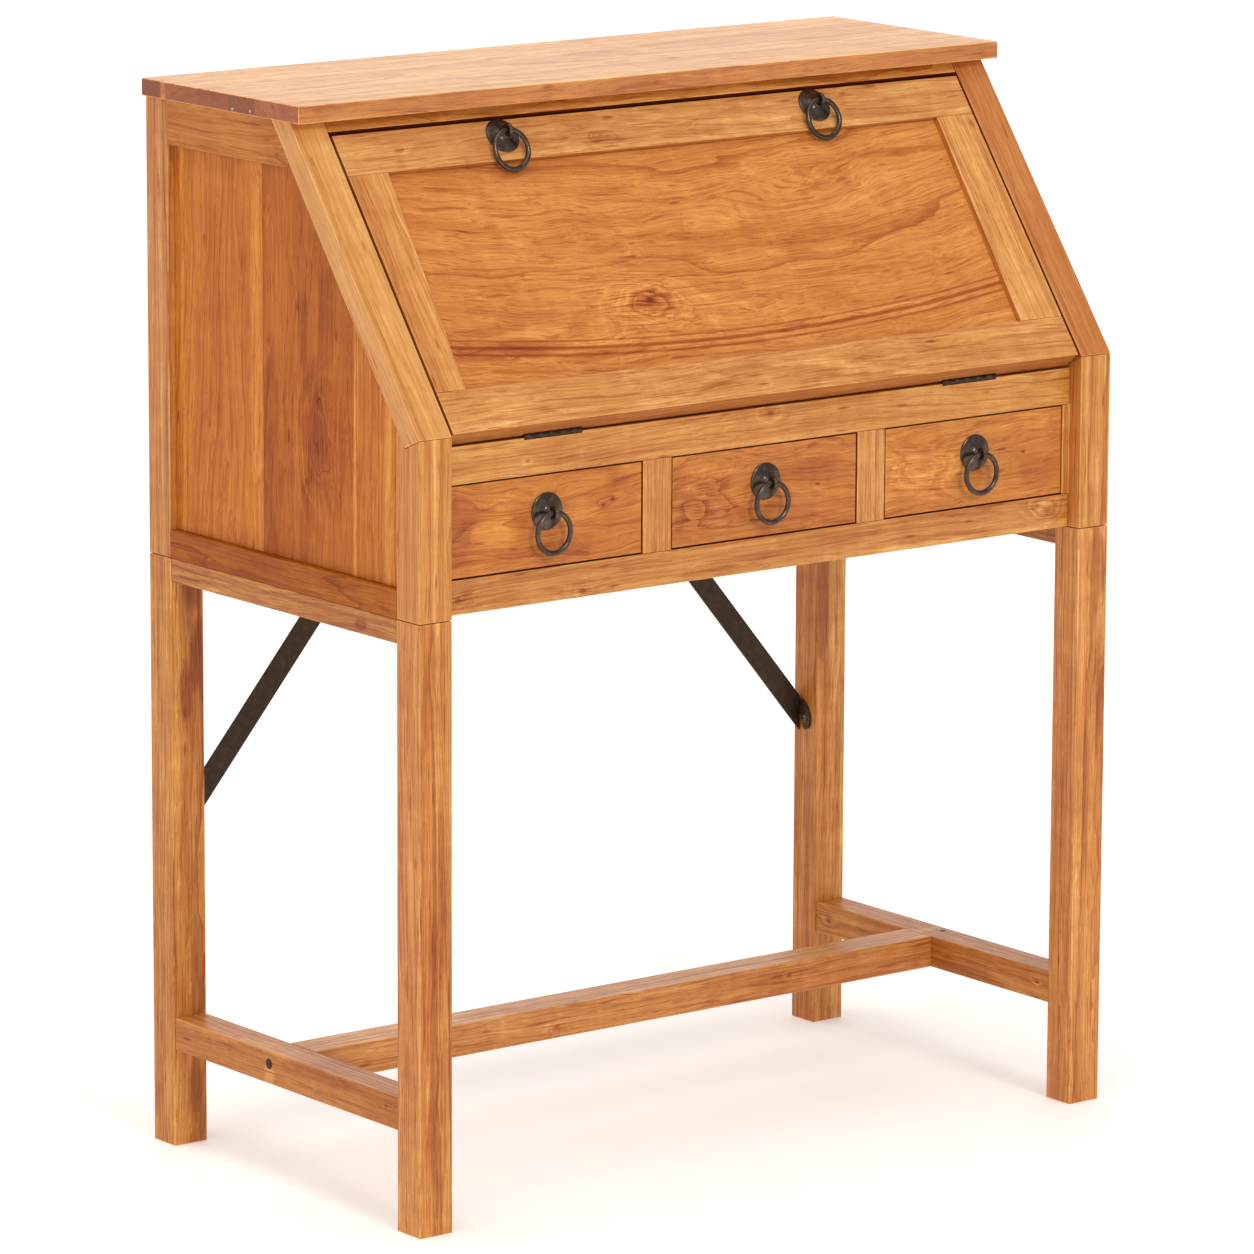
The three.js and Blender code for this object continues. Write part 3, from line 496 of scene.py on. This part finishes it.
def dress_case():
    # Each side has its seed, its two front posts' tones, and the streaks of the sloping one and the
    # painted shade on its inner edge, which looks into the gap beside the leaf.
    for side, seed, front_tone, slope_tone, streaks, inner in (
        ("left", 14.2, "d28b4c", "dd9c5c", 0.2, (1.4, 0.0)),
        ("right", 15.7, "cd8749", "c97f48", 1.0, (0.0, 1.4)),
    ):
        out = ACROSS * SIDES[side]
        dress(f"front_post_{side}", UP, -DEEP, 1.2, front_tone, seed, pith=(-0.03, 0.05),
              ring=0.005, wavy=0.015, streaks=0.3, contrast=0.85,
              bands=[(0.006, 0.0012, -0.3), (-0.004, 0.001, 0.3), (0.012, 0.0015, 0.35)])
        dress(f"slope_post_{side}", UP_SLOPE, OUT_OF_SLOPE, 1.0, slope_tone, seed + 2,
              pith=(0.03, 0.07), ring=0.003, wavy=0.02, contrast=0.6, streaks=streaks, ends=0.1,
              sides=inner, bands=[(0.014, 0.003, 0.3)])
        dress(f"rear_post_{side}", UP, out, 1.2, "c9834a", seed + 4, pith=(0.02, 0.05), ring=0.006,
              wavy=0.02, bands=[(-0.012, 0.004, 0.3), (0.004, 0.002, 0.3)])
        dress(f"case_rail_bottom_{side}", DEEP, out, 0.7, "aa5e2a", seed + 6, pith=(0.01, 0.04),
              ring=0.007, wavy=0.05, streaks=0.5, gloss=0.12)
        dress(f"case_rail_top_{side}", DEEP, out, 0.7, "c27c43", seed + 8, pith=(0.02, 0.06),
              gloss=0.12, ring=0.008, wavy=0.05, contrast=0.8, streaks=0.2,
              patches=[(-0.02, 0.0, 0.05, 0.02, -0.3), (0.15, 0.0, 0.03, 0.02, 0.25)])
    dress("side_panel_left", UP, -ACROSS, 0.5, "c6763a", 24.6, gloss=0.10, pith=(0.02, 0.10),
          ring=0.010, wavy=0.07, swirl=0.02, contrast=0.85, streaks=0.4,
          seams=(-0.1564, -0.1196, 0.0395), planks=(-0.2, 0.05, 0.42, -0.05),
          bands=[(0.052, 0.010, -0.5), (-0.117, 0.004, -0.9), (0.182, 0.004, -0.4),
                 (-0.172, 0.006, -0.4), (-0.186, 0.003, 0.4)],
          knots=[(-0.075, -0.05, 0.018, 0.05, 0.1), (-0.075, -0.052, 0.004, 0.01, 0.9),
                 (-0.03, -0.055, 0.006, 0.015, 0.9), (0.06, -0.02, 0.004, 0.01, 1.2),
                 (-0.12, -0.09, 0.005, 0.01, 1.2), (-0.115, -0.035, 0.004, 0.01, 1.2)],
          patches=[(-0.06, -0.05, 0.08, 0.026, 0.35), (0.02, -0.03, 0.05, 0.006, 0.5),
                   (-0.16, -0.03, 0.04, 0.010, 0.4), (0.07, -0.06, 0.05, 0.005, 0.4)])
    dress("side_panel_right", UP, ACROSS, 0.5, "c8783a", 61.3, gloss=0.10, pith=(-0.02, 0.10),
          ring=0.010, wavy=0.07, swirl=0.02, contrast=0.8, streaks=0.4,
          seams=(-0.075, 0.062), planks=(0.25, -0.1, 0.1),
          knots=[(0.06, 0.10, 0.008, 0.03, 0.9)])
    # The sides of the front rails, the drawer dividers and the fascia darken their faces in the gaps
    # round the leaf and the drawers: painted shade.
    dress("front_rail_upper", ACROSS, -DEEP, 0.6, "cf8a4a", 27.0, pith=(0.01, 0.06), ring=0.007,
          wavy=0.05, knots=[(0.005, 0.012, 0.005, 0.015, 1.5), (-0.3, -0.004, 0.003, 0.006, 1.0)],
          bands=[(-0.015, 0.003, -0.25)], sides=(2.0, 0.6))
    dress("front_rail_lower", ACROSS, -DEEP, 0.8, "ca864a", 28.5, pith=(-0.02, 0.05), ring=0.007,
          wavy=0.06, streaks=0.7, bands=[(-0.014, 0.003, -0.3)], sides=(0.4, 2.0),
          knots=[(-0.386, -0.003, 0.005, 0.010, 1.6), (-0.231, -0.012, 0.005, 0.010, 1.6),
                 (0.376, 0.003, 0.007, 0.020, 1.5), (0.362, 0.009, 0.004, 0.006, 1.4)],
          patches=[(-0.06, -0.012, 0.05, 0.005, 0.5), (0.12, 0.004, 0.06, 0.004, 0.4)])
    for side, seed in (("left", 30.0), ("right", 31.9)):
        dress(f"drawer_divider_{side}", UP, -DEEP, 0.6, "d79254", seed, pith=(0.02, 0.05),
              ring=0.005, wavy=0.02, streaks=0.2, bands=[(0.002, 0.002, 0.25)], sides=(2.0, 2.0))
    dress("fascia", ACROSS, OUT_OF_SLOPE, 0.7, "d8934f", 33.0, pith=(0.0, 0.05), ring=0.005,
          streaks=0.8, sides=(2.5, 0.0))
    # The top's sides darken its front and rear edges: painted shade.
    dress("top_board", ACROSS, UP, 1.4, "eca862", 35.0, pith=(0.03, 0.10), ring=0.011, wavy=0.08,
          swirl=0.015, contrast=0.9, streaks=0.5, ends=2.2, sides=(0.95, 0.6), gloss=0.5,
          end_bands=[(0.12, 0.0168, 0.5), (0.099, 0.0042, -1.0), (-0.039, 0.0225, 0.55),
                     (-0.1, 0.037, -0.35)])
    for name, along, face, seed in (
        ("desk_floor", ACROSS, UP, 70.1),
        ("bottom_board", ACROSS, UP, 71.4),
        ("pigeonhole_shelf", ACROSS, UP, 72.8),
        ("pigeonhole_divider", UP, -ACROSS, 74.5),
        ("case_rail_rear", ACROSS, DEEP, 75.2),
        ("back_panel", ACROSS, DEEP, 76.9),
    ):
        dress(name, along, face, 0.5, "c08a55", seed, pith=(0.02, 0.15), ring=0.010, wavy=0.05,
              contrast=0.8, streaks=0.3)


def dress_leaf():
    # The sides of the leaf's rails and stiles, and the rails' raised ends, darken the faces in the gaps
    # round the leaf: painted shade, added to the end grain's own darker tone.
    dress("leaf_rail_lower", ACROSS, OUT_OF_SLOPE, 0.7, "d28e52", 41.0, pith=(0.01, 0.08),
          ring=0.007, wavy=0.06, streaks=0.5, bands=[(-0.019, 0.003, -0.2)], sides=(0.7, 0.6),
          ends=0.9)
    dress("leaf_rail_upper", ACROSS, OUT_OF_SLOPE, 0.7, "d69356", 42.4, pith=(-0.01, 0.08),
          ring=0.007, wavy=0.05, streaks=0.5, bands=[(-0.019, 0.0035, -0.35)],
          knots=[(-0.082, -0.005, 0.004, 0.006, 0.8), (-0.329, 0.0, 0.003, 0.004, 0.7)],
          sides=(0.6, 1.2), ends=0.9)
    dress("leaf_stile_left", UP_SLOPE, OUT_OF_SLOPE, 0.6, "dc9557", 43.3, pith=(0.01, 0.07),
          ring=0.006, wavy=0.02, streaks=0.2, contrast=0.8,
          bands=[(0.018, 0.008, 0.42), (-0.018, 0.003, -0.15)], sides=(0.3, 0.9))
    dress("leaf_stile_right", UP_SLOPE, OUT_OF_SLOPE, 0.6, "db9758", 44.8, pith=(0.01, 0.07),
          ring=0.006, wavy=0.02, streaks=0.4, contrast=0.9, bands=[(-0.02, 0.004, 0.3)],
          sides=(0.9, 0.5),
          knots=[(0.11, -0.02, 0.005, 0.006, 1.0)])
    dress("leaf_panel", ACROSS, OUT_OF_SLOPE, 0.4, "d38647", 45.6, pith=(0.04, 0.16), ring=0.013,
          wavy=0.06, swirl=0.035, bow=(0.0, 0.20), contrast=0.9, streaks=0.6,
          knots=[(-0.092, -0.046, 0.017, 0.07, 0.4), (-0.092, -0.046, 0.006, 0.0, 3.0)],
          bands=[(-0.098, 0.0022, 1.4), (-0.090, 0.0012, 0.9), (-0.106, 0.0015, 1.0),
                 (0.168, 0.006, 0.5)],
          patches=[(-0.28, -0.085, 0.07, 0.012, 0.7), (-0.30, -0.06, 0.05, 0.006, 0.6),
                   (-0.19, -0.10, 0.06, 0.006, 0.6), (0.1, 0.01, 0.15, 0.02, 0.2),
                   (-0.2, 0.12, 0.12, 0.02, 0.3), (-0.092, -0.046, 0.026, 0.012, 0.4),
                   (0.3, 0.09, 0.07, 0.005, 0.5)])


def dress_drawers():
    # sides and ends darken the drawer fronts' edges in the gaps round them: painted shade, added to the
    # end grain's own darker tone.
    shared = {"sides": (0.9, 0.9), "ends": 1.1, "wavy": 0.05}
    dress("drawer_front_left", ACROSS, -DEEP, 0.9, "cc7d3d", 50.4, pith=(0.02, 0.03), ring=0.012,
          swirl=0.035, contrast=0.9, streaks=0.5,
          knots=[(0.071, 0.008, 0.0035, 0.008, 1.8), (0.081, 0.012, 0.003, 0.004, 2.2)],
          patches=[(-0.06, 0.0, 0.03, 0.025, -0.35), (-0.112, 0.0, 0.02, 0.04, 0.4),
                   (0.09, 0.02, 0.03, 0.02, 0.4), (0.03, -0.03, 0.04, 0.01, 0.4)], **shared)
    dress("drawer_front_middle", ACROSS, -DEEP, 0.9, "c5773c", 53.1, pith=(0.01, 0.03), ring=0.010,
          swirl=0.04, contrast=1.0, streaks=0.6,
          knots=[(-0.095, -0.002, 0.016, 0.022, 0.15), (0.069, -0.001, 0.003, 0.006, 2.2)],
          patches=[(-0.1, 0.0, 0.03, 0.03, 0.2), (0.05, 0.02, 0.05, 0.01, 0.4)], **shared)
    dress("drawer_front_right", ACROSS, -DEEP, 0.9, "cd8040", 55.8, pith=(0.0, 0.03), ring=0.012,
          swirl=0.035, contrast=0.9, streaks=0.5,
          knots=[(-0.066, 0.003, 0.018, 0.022, 0.1), (0.068, 0.003, 0.003, 0.006, 2.2)],
          patches=[(-0.06, 0.0, 0.035, 0.03, -0.18), (0.09, -0.02, 0.03, 0.02, 0.4)], **shared)
    for i, place in enumerate(PLACES):
        dress(f"drawer_box_{place}", DEEP, UP, 0.6, "c08a55", 60.0 + 1.7 * i, pith=(0.02, 0.15),
              ring=0.009, contrast=0.8, streaks=0.2)


dress_stand()
dress_case()
dress_leaf()
dress_drawers()


# ---------------------------------------------------------------- iron
def iron(name, tint, worn, roughness, bump=0.25):
    """Dark hand-finished iron: uneven tint and gloss, small dents."""
    material = bpy.data.materials.new(name)
    material.use_nodes = True
    tree = material.node_tree
    g = Graph(tree)
    shader = tree.nodes["Principled BSDF"]
    point = g.node("TexCoord").outputs["Object"]
    cloud = g.noise(point, (120, 120, 120), 3.0)
    fine = g.noise(point, (900, 900, 900), 3.0, 0.6)
    wear = g.math("ADD", g.math("MULTIPLY", cloud, 0.7), g.math("MULTIPLY", fine, 0.3))
    share = g.step(wear, 0.4, 0.7)
    g.feed(shader.inputs["Base Color"], g.mix(share, colour(tint), colour(worn)))
    g.feed(shader.inputs["Roughness"], g.step(fine, 0.3, 0.7, roughness - 0.08, roughness + 0.10))
    height = g.math("ADD", g.math("MULTIPLY", cloud, 1.2), g.math("MULTIPLY", fine, 0.5))
    bumped = g.node("Bump", {"Height": height})
    bumped.inputs["Strength"].default_value = bump
    bumped.inputs["Distance"].default_value = 0.0004
    g.feed(shader.inputs["Normal"], bumped.outputs[0])
    shader.inputs["Metallic"].default_value = 0.85
    return material


BLACK_IRON = iron("black_iron_paint", "41342b", "4d3f35", 0.50)
BRONZE_IRON = iron("bronze_iron_metal", "4c4038", "66584d", 0.27, bump=0.12)
SCREW_IRON = iron("screw_iron", "5c4e43", "7b6c60", 0.36)
NAIL_STEEL = iron("nail_steel", "b5a898", "d8cdbf", 0.25)


def add_mesh(name, bm, material, body, smooth=True):
    """Makes a piece from bmesh data, lets it ride on a body and gives it a finish."""
    mesh = bpy.data.meshes.new(name)
    bmesh.ops.recalc_face_normals(bm, faces=bm.faces)
    bm.to_mesh(mesh)
    bm.free()
    for polygon in mesh.polygons:
        polygon.use_smooth = smooth
    mesh.materials.append(material)
    piece = bpy.data.objects.new(name, mesh)
    bpy.context.scene.collection.objects.link(piece)
    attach(piece, body)
    return piece


def turn_to(axis, at):
    """The matrix that takes local Z to axis and the origin to at."""
    return Matrix.Translation(at) @ axis.to_track_quat("Z", "Y").to_matrix().to_4x4()


def lathe(bm, profile, sectors, matrix, dent=0.0, seed=0.0):
    """Spins [radius, height] points about local Z. dent moves each point by seeded noise."""
    rows = []
    for radius, height in profile:
        if radius == 0:
            rows.append([bm.verts.new(matrix @ Vector((0, 0, height)))])
            continue
        row = []
        for i in range(sectors):
            angle = 2 * math.pi * i / sectors
            point = Vector((radius * math.cos(angle), radius * math.sin(angle), height))
            push = noise.noise(point * 260 + Vector((seed, seed, seed))) * dent
            row.append(bm.verts.new(matrix @ (point * (1 + push / max(radius, MM)))))
        rows.append(row)
    for low, high in zip(rows, rows[1:]):
        for i in range(sectors):
            j = (i + 1) % sectors
            corners = [low[i % len(low)], low[j % len(low)], high[j % len(high)], high[i % len(high)]]
            unique = list(dict.fromkeys(corners))
            if len(unique) > 2:
                bm.faces.new(unique)


def sweep(bm, points, radii, sides, normal, flat=1.0):
    """A closed round bar along points.

    normal is square to the plane that the points lie in, and flat is the bar's thickness that way
    over its width.
    """
    rows = []
    count = len(points)
    for i, point in enumerate(points):
        along = (points[(i + 1) % count] - points[i - 1]).normalized()
        out = normal.cross(along).normalized()
        row = []
        for k in range(sides):
            angle = 2 * math.pi * k / sides
            offset = out * math.cos(angle) + normal * math.sin(angle) * flat
            row.append(bm.verts.new(point + offset * radii[i]))
        rows.append(row)
    for i in range(count):
        low, high = rows[i], rows[(i + 1) % count]
        for k in range(sides):
            m = (k + 1) % sides
            bm.faces.new((low[k], low[m], high[m], high[k]))


# ---------------------------------------------------------------- ring pulls
PULL_REACH = 12.5 * MM  # from the wood to the eye's middle
EYE_RADIUS = 5.1 * MM  # to the middle of its wire
EYE_WIRE = 2.1 * MM
EYE_STEPS = 32
RING_RADIUS = 20.25 * MM  # to the middle of its wire
RING_WIRE = 2.75 * MM
RING_FLAT = 0.9  # so that the ring clears the drawer when it swings inwards
RING_STEPS = 96
RING_UNEVEN = 0.02  # of its wire
PLATE_DENT = 0.12 * MM
PLATE_PROFILE = [  # (radius, height) in millimetres
    (0, 0.2), (18.4, 0.2), (19, 0.5), (19, 1.1), (18.6, 1.6), (17.6, 1.9), (14, 2.6), (10, 3.4),
    (7, 4.3), (5, 5.4), (3.9, 6.6), (3.2, 7.6), (2.2, 8.2), (0, 8.4),
]


def add_pull(name, plate_body, out, seed):
    """A domed plate with its eye, and the ring that hangs in it. out is the way the plate looks."""
    eye = Vector(joints[f"ring_swing_{name}"]["pos_m"])
    seat = eye - out * PULL_REACH
    up = out.cross(ACROSS).normalized()
    if up.z < 0:
        up = -up

    bm = bmesh.new()
    profile = [(r * MM, h * MM) for r, h in PLATE_PROFILE]
    lathe(bm, profile, 56, turn_to(out, seat), PLATE_DENT, seed)
    loop = []
    for i in range(EYE_STEPS):
        angle = 2 * math.pi * i / EYE_STEPS
        loop.append(eye + (out * math.cos(angle) + up * math.sin(angle)) * EYE_RADIUS)
    sweep(bm, loop, [EYE_WIRE] * EYE_STEPS, 14, ACROSS)
    plate = add_mesh(f"plate_{name}", bm, BRONZE_IRON, plate_body)
    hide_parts(f"pull_plate_{name}")

    low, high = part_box(f"pull_ring_{name}")
    hang = ((low + high) / 2 - eye).normalized()
    middle = eye + hang * RING_RADIUS
    face = hang.cross(ACROSS).normalized()
    bm = bmesh.new()
    points, radii = [], []
    for i in range(RING_STEPS):
        angle = 2 * math.pi * i / RING_STEPS
        points.append(middle + (hang * math.cos(angle) + ACROSS * math.sin(angle)) * RING_RADIUS)
        wave = noise.noise(Vector((math.cos(angle), math.sin(angle), seed)) * 2.5)
        radii.append(RING_WIRE * (1 + RING_UNEVEN * wave))
    sweep(bm, points, radii, 18, face, RING_FLAT)
    ring = add_mesh(f"ring_{name}", bm, BRONZE_IRON, f"ring_{name}")
    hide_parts(f"pull_ring_{name}")


for index, side in enumerate(SIDES):
    add_pull(f"leaf_{side}", "leaf", OUT_OF_SLOPE, 3.0 + index)
for index, place in enumerate(PLACES):
    add_pull(f"drawer_{place}", f"drawer_{place}", -DEEP, 6.0 + index)


# ---------------------------------------------------------------- hinges, braces and screws
SCREW_SECTORS = 48
SCREW_RINGS = 10
SCREW_ROUND = 0.92  # how much of its crown the head loses towards its edge
CROSS_HALF = 0.13  # the recess's half width, over the head's radius
CROSS_REACH = 0.62  # how far it reaches from the middle, over the radius
CROSS_DEPTH = 0.8  # over the crown
STUD_PROFILE = [(0, 1), (0.55, 0.94), (0.82, 0.7), (1, 0.1), (1, -0.4), (0, -0.4)]


def add_screw(name, at, axis, radius, body="desk", crown=0.38):
    """A domed screw head with a cross recess; crown is its height over its radius."""
    bm = bmesh.new()
    matrix = turn_to(axis, at)
    dome = crown * radius
    directions = []
    for i in range(SCREW_SECTORS):
        angle = 2 * math.pi * i / SCREW_SECTORS
        directions.append((math.cos(angle), math.sin(angle)))
    rows = []
    for k in range(SCREW_RINGS + 1):
        share = k / SCREW_RINGS
        height = dome * math.sqrt(1 - share**2 * SCREW_ROUND)
        row = []
        for cosine, sine in directions:
            x, y = radius * share * cosine, radius * share * sine
            narrow, far = sorted((abs(x), abs(y)))
            cut = narrow < CROSS_HALF * radius and far < CROSS_REACH * radius
            row.append(bm.verts.new(matrix @ Vector((x, y, height - (CROSS_DEPTH * dome if cut else 0)))))
        rows.append(row)
    rows.append([bm.verts.new(matrix @ Vector((radius * x, radius * y, 0))) for x, y in directions])
    for low, high in zip(rows, rows[1:]):
        for i in range(SCREW_SECTORS):
            j = (i + 1) % SCREW_SECTORS
            bm.faces.new((low[i], low[j], high[j], high[i]))
    bm.faces.new(rows[-1][::-1])
    bmesh.ops.remove_doubles(bm, verts=rows[0], dist=1e-7)
    return add_mesh(name, bm, SCREW_IRON, body, smooth=False)


def add_stud(name, at, axis, radius, height, material):
    """A low round head with a soft edge: a nail, a pin or a sunk bolt.

    STUD_PROFILE is in shares of its radius and its height.
    """
    bm = bmesh.new()
    lathe(bm, [(r * radius, h * height) for r, h in STUD_PROFILE], 28, turn_to(axis, at))
    return add_mesh(name, bm, material, "desk")


BRACE_THICKNESS = 3 * MM
BRACE_SCREW = 5.2 * MM  # radius
BRACE_END = 12.45 * MM  # from the brace's upper end in to its screw, sideways and down
TAB_SCREW_BACK = 9.5 * MM  # from the foot tab's front edge
TAB_SCREW_UP = 16 * MM  # from its lower end
BOLT_BACK = 27 * MM  # from the desk's middle
BOLT_UP = 124 * MM
BOLT_RADIUS = 5.5 * MM
BOLT_HEIGHT = 0.8 * MM
PIN_IN = 10.5 * MM  # from the stretcher's outer face
PIN_BACK = 10.5 * MM  # from the desk's middle
PIN_RADIUS = 3.6 * MM
PIN_HEIGHT = 0.3 * MM
HINGE_SCREW_X = (-24, 0, 24)  # from the hinge's middle, in millimetres
HINGE_SCREW_IN = 10.5 * MM  # from the hinge's pin
HINGE_SCREW = 3 * MM  # radius
HINGE_CROWN = 0.14
RAIL_FACE = 0.9 * MM  # from the hinge's pin down to the fixed plate's face
LEAF_FACE = 1.62 * MM  # from the pin inwards to the moving plate's face
NAILS = (("top_board", 73, 1093.5), ("top_board", 42, 1094.5), ("case_rail_top_left", -3, 1077))
NAIL_RADIUS = 1.5 * MM
NAIL_HEIGHT = 0.5 * MM

for side, sign in SIDES.items():
    out = ACROSS * sign
    low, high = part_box(f"brace_{side}")
    inner, outer = (low.x, high.x) if sign > 0 else (high.x, low.x)
    foot = Vector((outer - sign * BRACE_THICKNESS, low.y + TAB_SCREW_BACK, low.z + TAB_SCREW_UP))
    end = Vector((inner + sign * BRACE_END, high.y, high.z - BRACE_END))
    add_screw(f"brace_foot_screw_{side}", foot, -out, BRACE_SCREW)
    add_screw(f"brace_top_screw_{side}", end, DEEP, BRACE_SCREW)
    low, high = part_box(f"side_stretcher_{side}")
    at = Vector((high.x if sign > 0 else low.x, BOLT_BACK, BOLT_UP))
    add_stud(f"stretcher_bolt_{side}", at, out, BOLT_RADIUS, BOLT_HEIGHT, BLACK_IRON)

low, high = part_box("side_stretcher_right")
at = Vector((high.x - PIN_IN, PIN_BACK, high.z))
add_stud("stretcher_pin", at, UP, PIN_RADIUS, PIN_HEIGHT, BLACK_IRON)

pin = Vector(joints["leaf_hinge"]["pos_m"])
for side in SIDES:
    low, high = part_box(f"hinge_rail_plate_{side}")
    for i, x in enumerate(HINGE_SCREW_X):
        at = pin + ACROSS * ((low.x + high.x) / 2 + x * MM)
        on_rail = at + DEEP * HINGE_SCREW_IN - UP * RAIL_FACE
        on_leaf = at + UP_SLOPE * HINGE_SCREW_IN - OUT_OF_SLOPE * LEAF_FACE
        for half, body, place, axis in (
            ("rail", "desk", on_rail, UP),
            ("leaf", "leaf", on_leaf, -OUT_OF_SLOPE),
        ):
            add_screw(f"hinge_{half}_screw_{side}_{i + 1}", place, axis, HINGE_SCREW, body, HINGE_CROWN)

for i, (board, y, z) in enumerate(NAILS):
    at = Vector((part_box(board)[0].x, y * MM, z * MM))
    add_stud(f"nail_{i + 1}", at, -ACROSS, NAIL_RADIUS, NAIL_HEIGHT, NAIL_STEEL)

for side in SIDES:
    for name in (f"brace_{side}", f"hinge_rail_plate_{side}", f"hinge_leaf_plate_{side}"):
        nodes[name].data.materials.clear()
        nodes[name].data.materials.append(BLACK_IRON)
    ease_edges(nodes[f"brace_{side}"], 0.5 * MM, segments=2, edge_slot=0, angle=40)
    weld(nodes[f"hinge_rail_plate_{side}"])
    weld(nodes[f"hinge_leaf_plate_{side}"])


# ---------------------------------------------------------------- floor, light and camera
FLOOR_COLOURS = ("f4f2ef", "f6f5f2")
FLOOR_HALF = 30
FLOOR_GLOW = 0.22  # keeps the floor pale where the desk shades it
CAMERA_AT = (-4.6026, -5.9425, 2.0582)
CAMERA_YAW = math.radians(37.707)
CAMERA_PITCH = math.radians(-11.518)
CAMERA_ROLL = math.radians(0.253)
CAMERA_LENS = 212.58


def make_floor():
    bm = bmesh.new()
    bmesh.ops.create_grid(bm, x_segments=1, y_segments=1, size=FLOOR_HALF)
    mesh = bpy.data.meshes.new("floor")
    bm.to_mesh(mesh)
    bm.free()
    floor = bpy.data.objects.new("floor", mesh)
    bpy.context.scene.collection.objects.link(floor)
    material = bpy.data.materials.new("floor_paint")
    material.use_nodes = True
    g = Graph(material.node_tree)
    shader = material.node_tree.nodes["Principled BSDF"]
    point = g.node("TexCoord").outputs["Object"]
    cloud = g.step(g.noise(point, (2, 2, 2), 3.0), 0.3, 0.7)
    g.feed(shader.inputs["Base Color"], g.mix(cloud, *[colour(code) for code in FLOOR_COLOURS]))
    shader.inputs["Roughness"].default_value = 0.8
    shader.inputs["Emission Color"].default_value = (1, 1, 1, 1)
    shader.inputs["Emission Strength"].default_value = FLOOR_GLOW
    mesh.materials.append(material)
    floor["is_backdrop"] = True


def add_sun(name, direction, power, spread):
    """A sun that shines in a direction; spread is its angle in degrees."""
    data = bpy.data.lights.new(name, "SUN")
    data.energy = power
    data.angle = math.radians(spread)
    sun = bpy.data.objects.new(name, data)
    sun.rotation_euler = Vector(direction).to_track_quat("-Z", "Y").to_euler()
    bpy.context.scene.collection.objects.link(sun)


def make_light():
    """A soft key from the front and above, and a world that is brighter on the left and behind."""
    add_sun("key", (0.06, 0.88, -0.47), power=1.02, spread=13)
    add_sun("overhead", (0.2, 0.1, -1), power=0.9, spread=60)
    world = bpy.data.worlds.new("studio")
    world.use_nodes = True
    g = Graph(world.node_tree)
    direction = g.node("TexCoord").outputs["Generated"]
    left = g.step(g.vector("DOT_PRODUCT", direction, (-1, 0, 0.3)), 0.0, 1.0, 0.44, 0.90)
    behind = g.step(g.vector("DOT_PRODUCT", direction, (0.6, 0.78, 0.15)), 0.55, 0.98, 0.0, 0.9)
    background = world.node_tree.nodes["Background"]
    warm = g.step(g.vector("DOT_PRODUCT", direction, (-1, 0, 0)), 0.0, 0.8)
    g.feed(background.inputs["Color"], g.mix(warm, (1, 1, 1, 1), colour("fff3e4")))
    g.feed(background.inputs["Strength"], g.math("ADD", left, behind))
    bpy.context.scene.world = world


def make_camera():
    data = bpy.data.cameras.new("camera")
    data.sensor_width = 36
    data.lens = CAMERA_LENS
    data.clip_end = 100
    camera = bpy.data.objects.new("camera", data)
    turn = Matrix.Rotation(-CAMERA_YAW, 4, "Z")
    tip = Matrix.Rotation(math.pi / 2 + CAMERA_PITCH, 4, "X")
    roll = Matrix.Rotation(CAMERA_ROLL, 4, "Z")
    camera.matrix_world = Matrix.Translation(CAMERA_AT) @ turn @ tip @ roll
    bpy.context.scene.collection.objects.link(camera)
    bpy.context.scene.camera = camera


make_floor()
make_light()
make_camera()
bpy.context.scene.view_settings.view_transform = "Standard"

low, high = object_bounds()
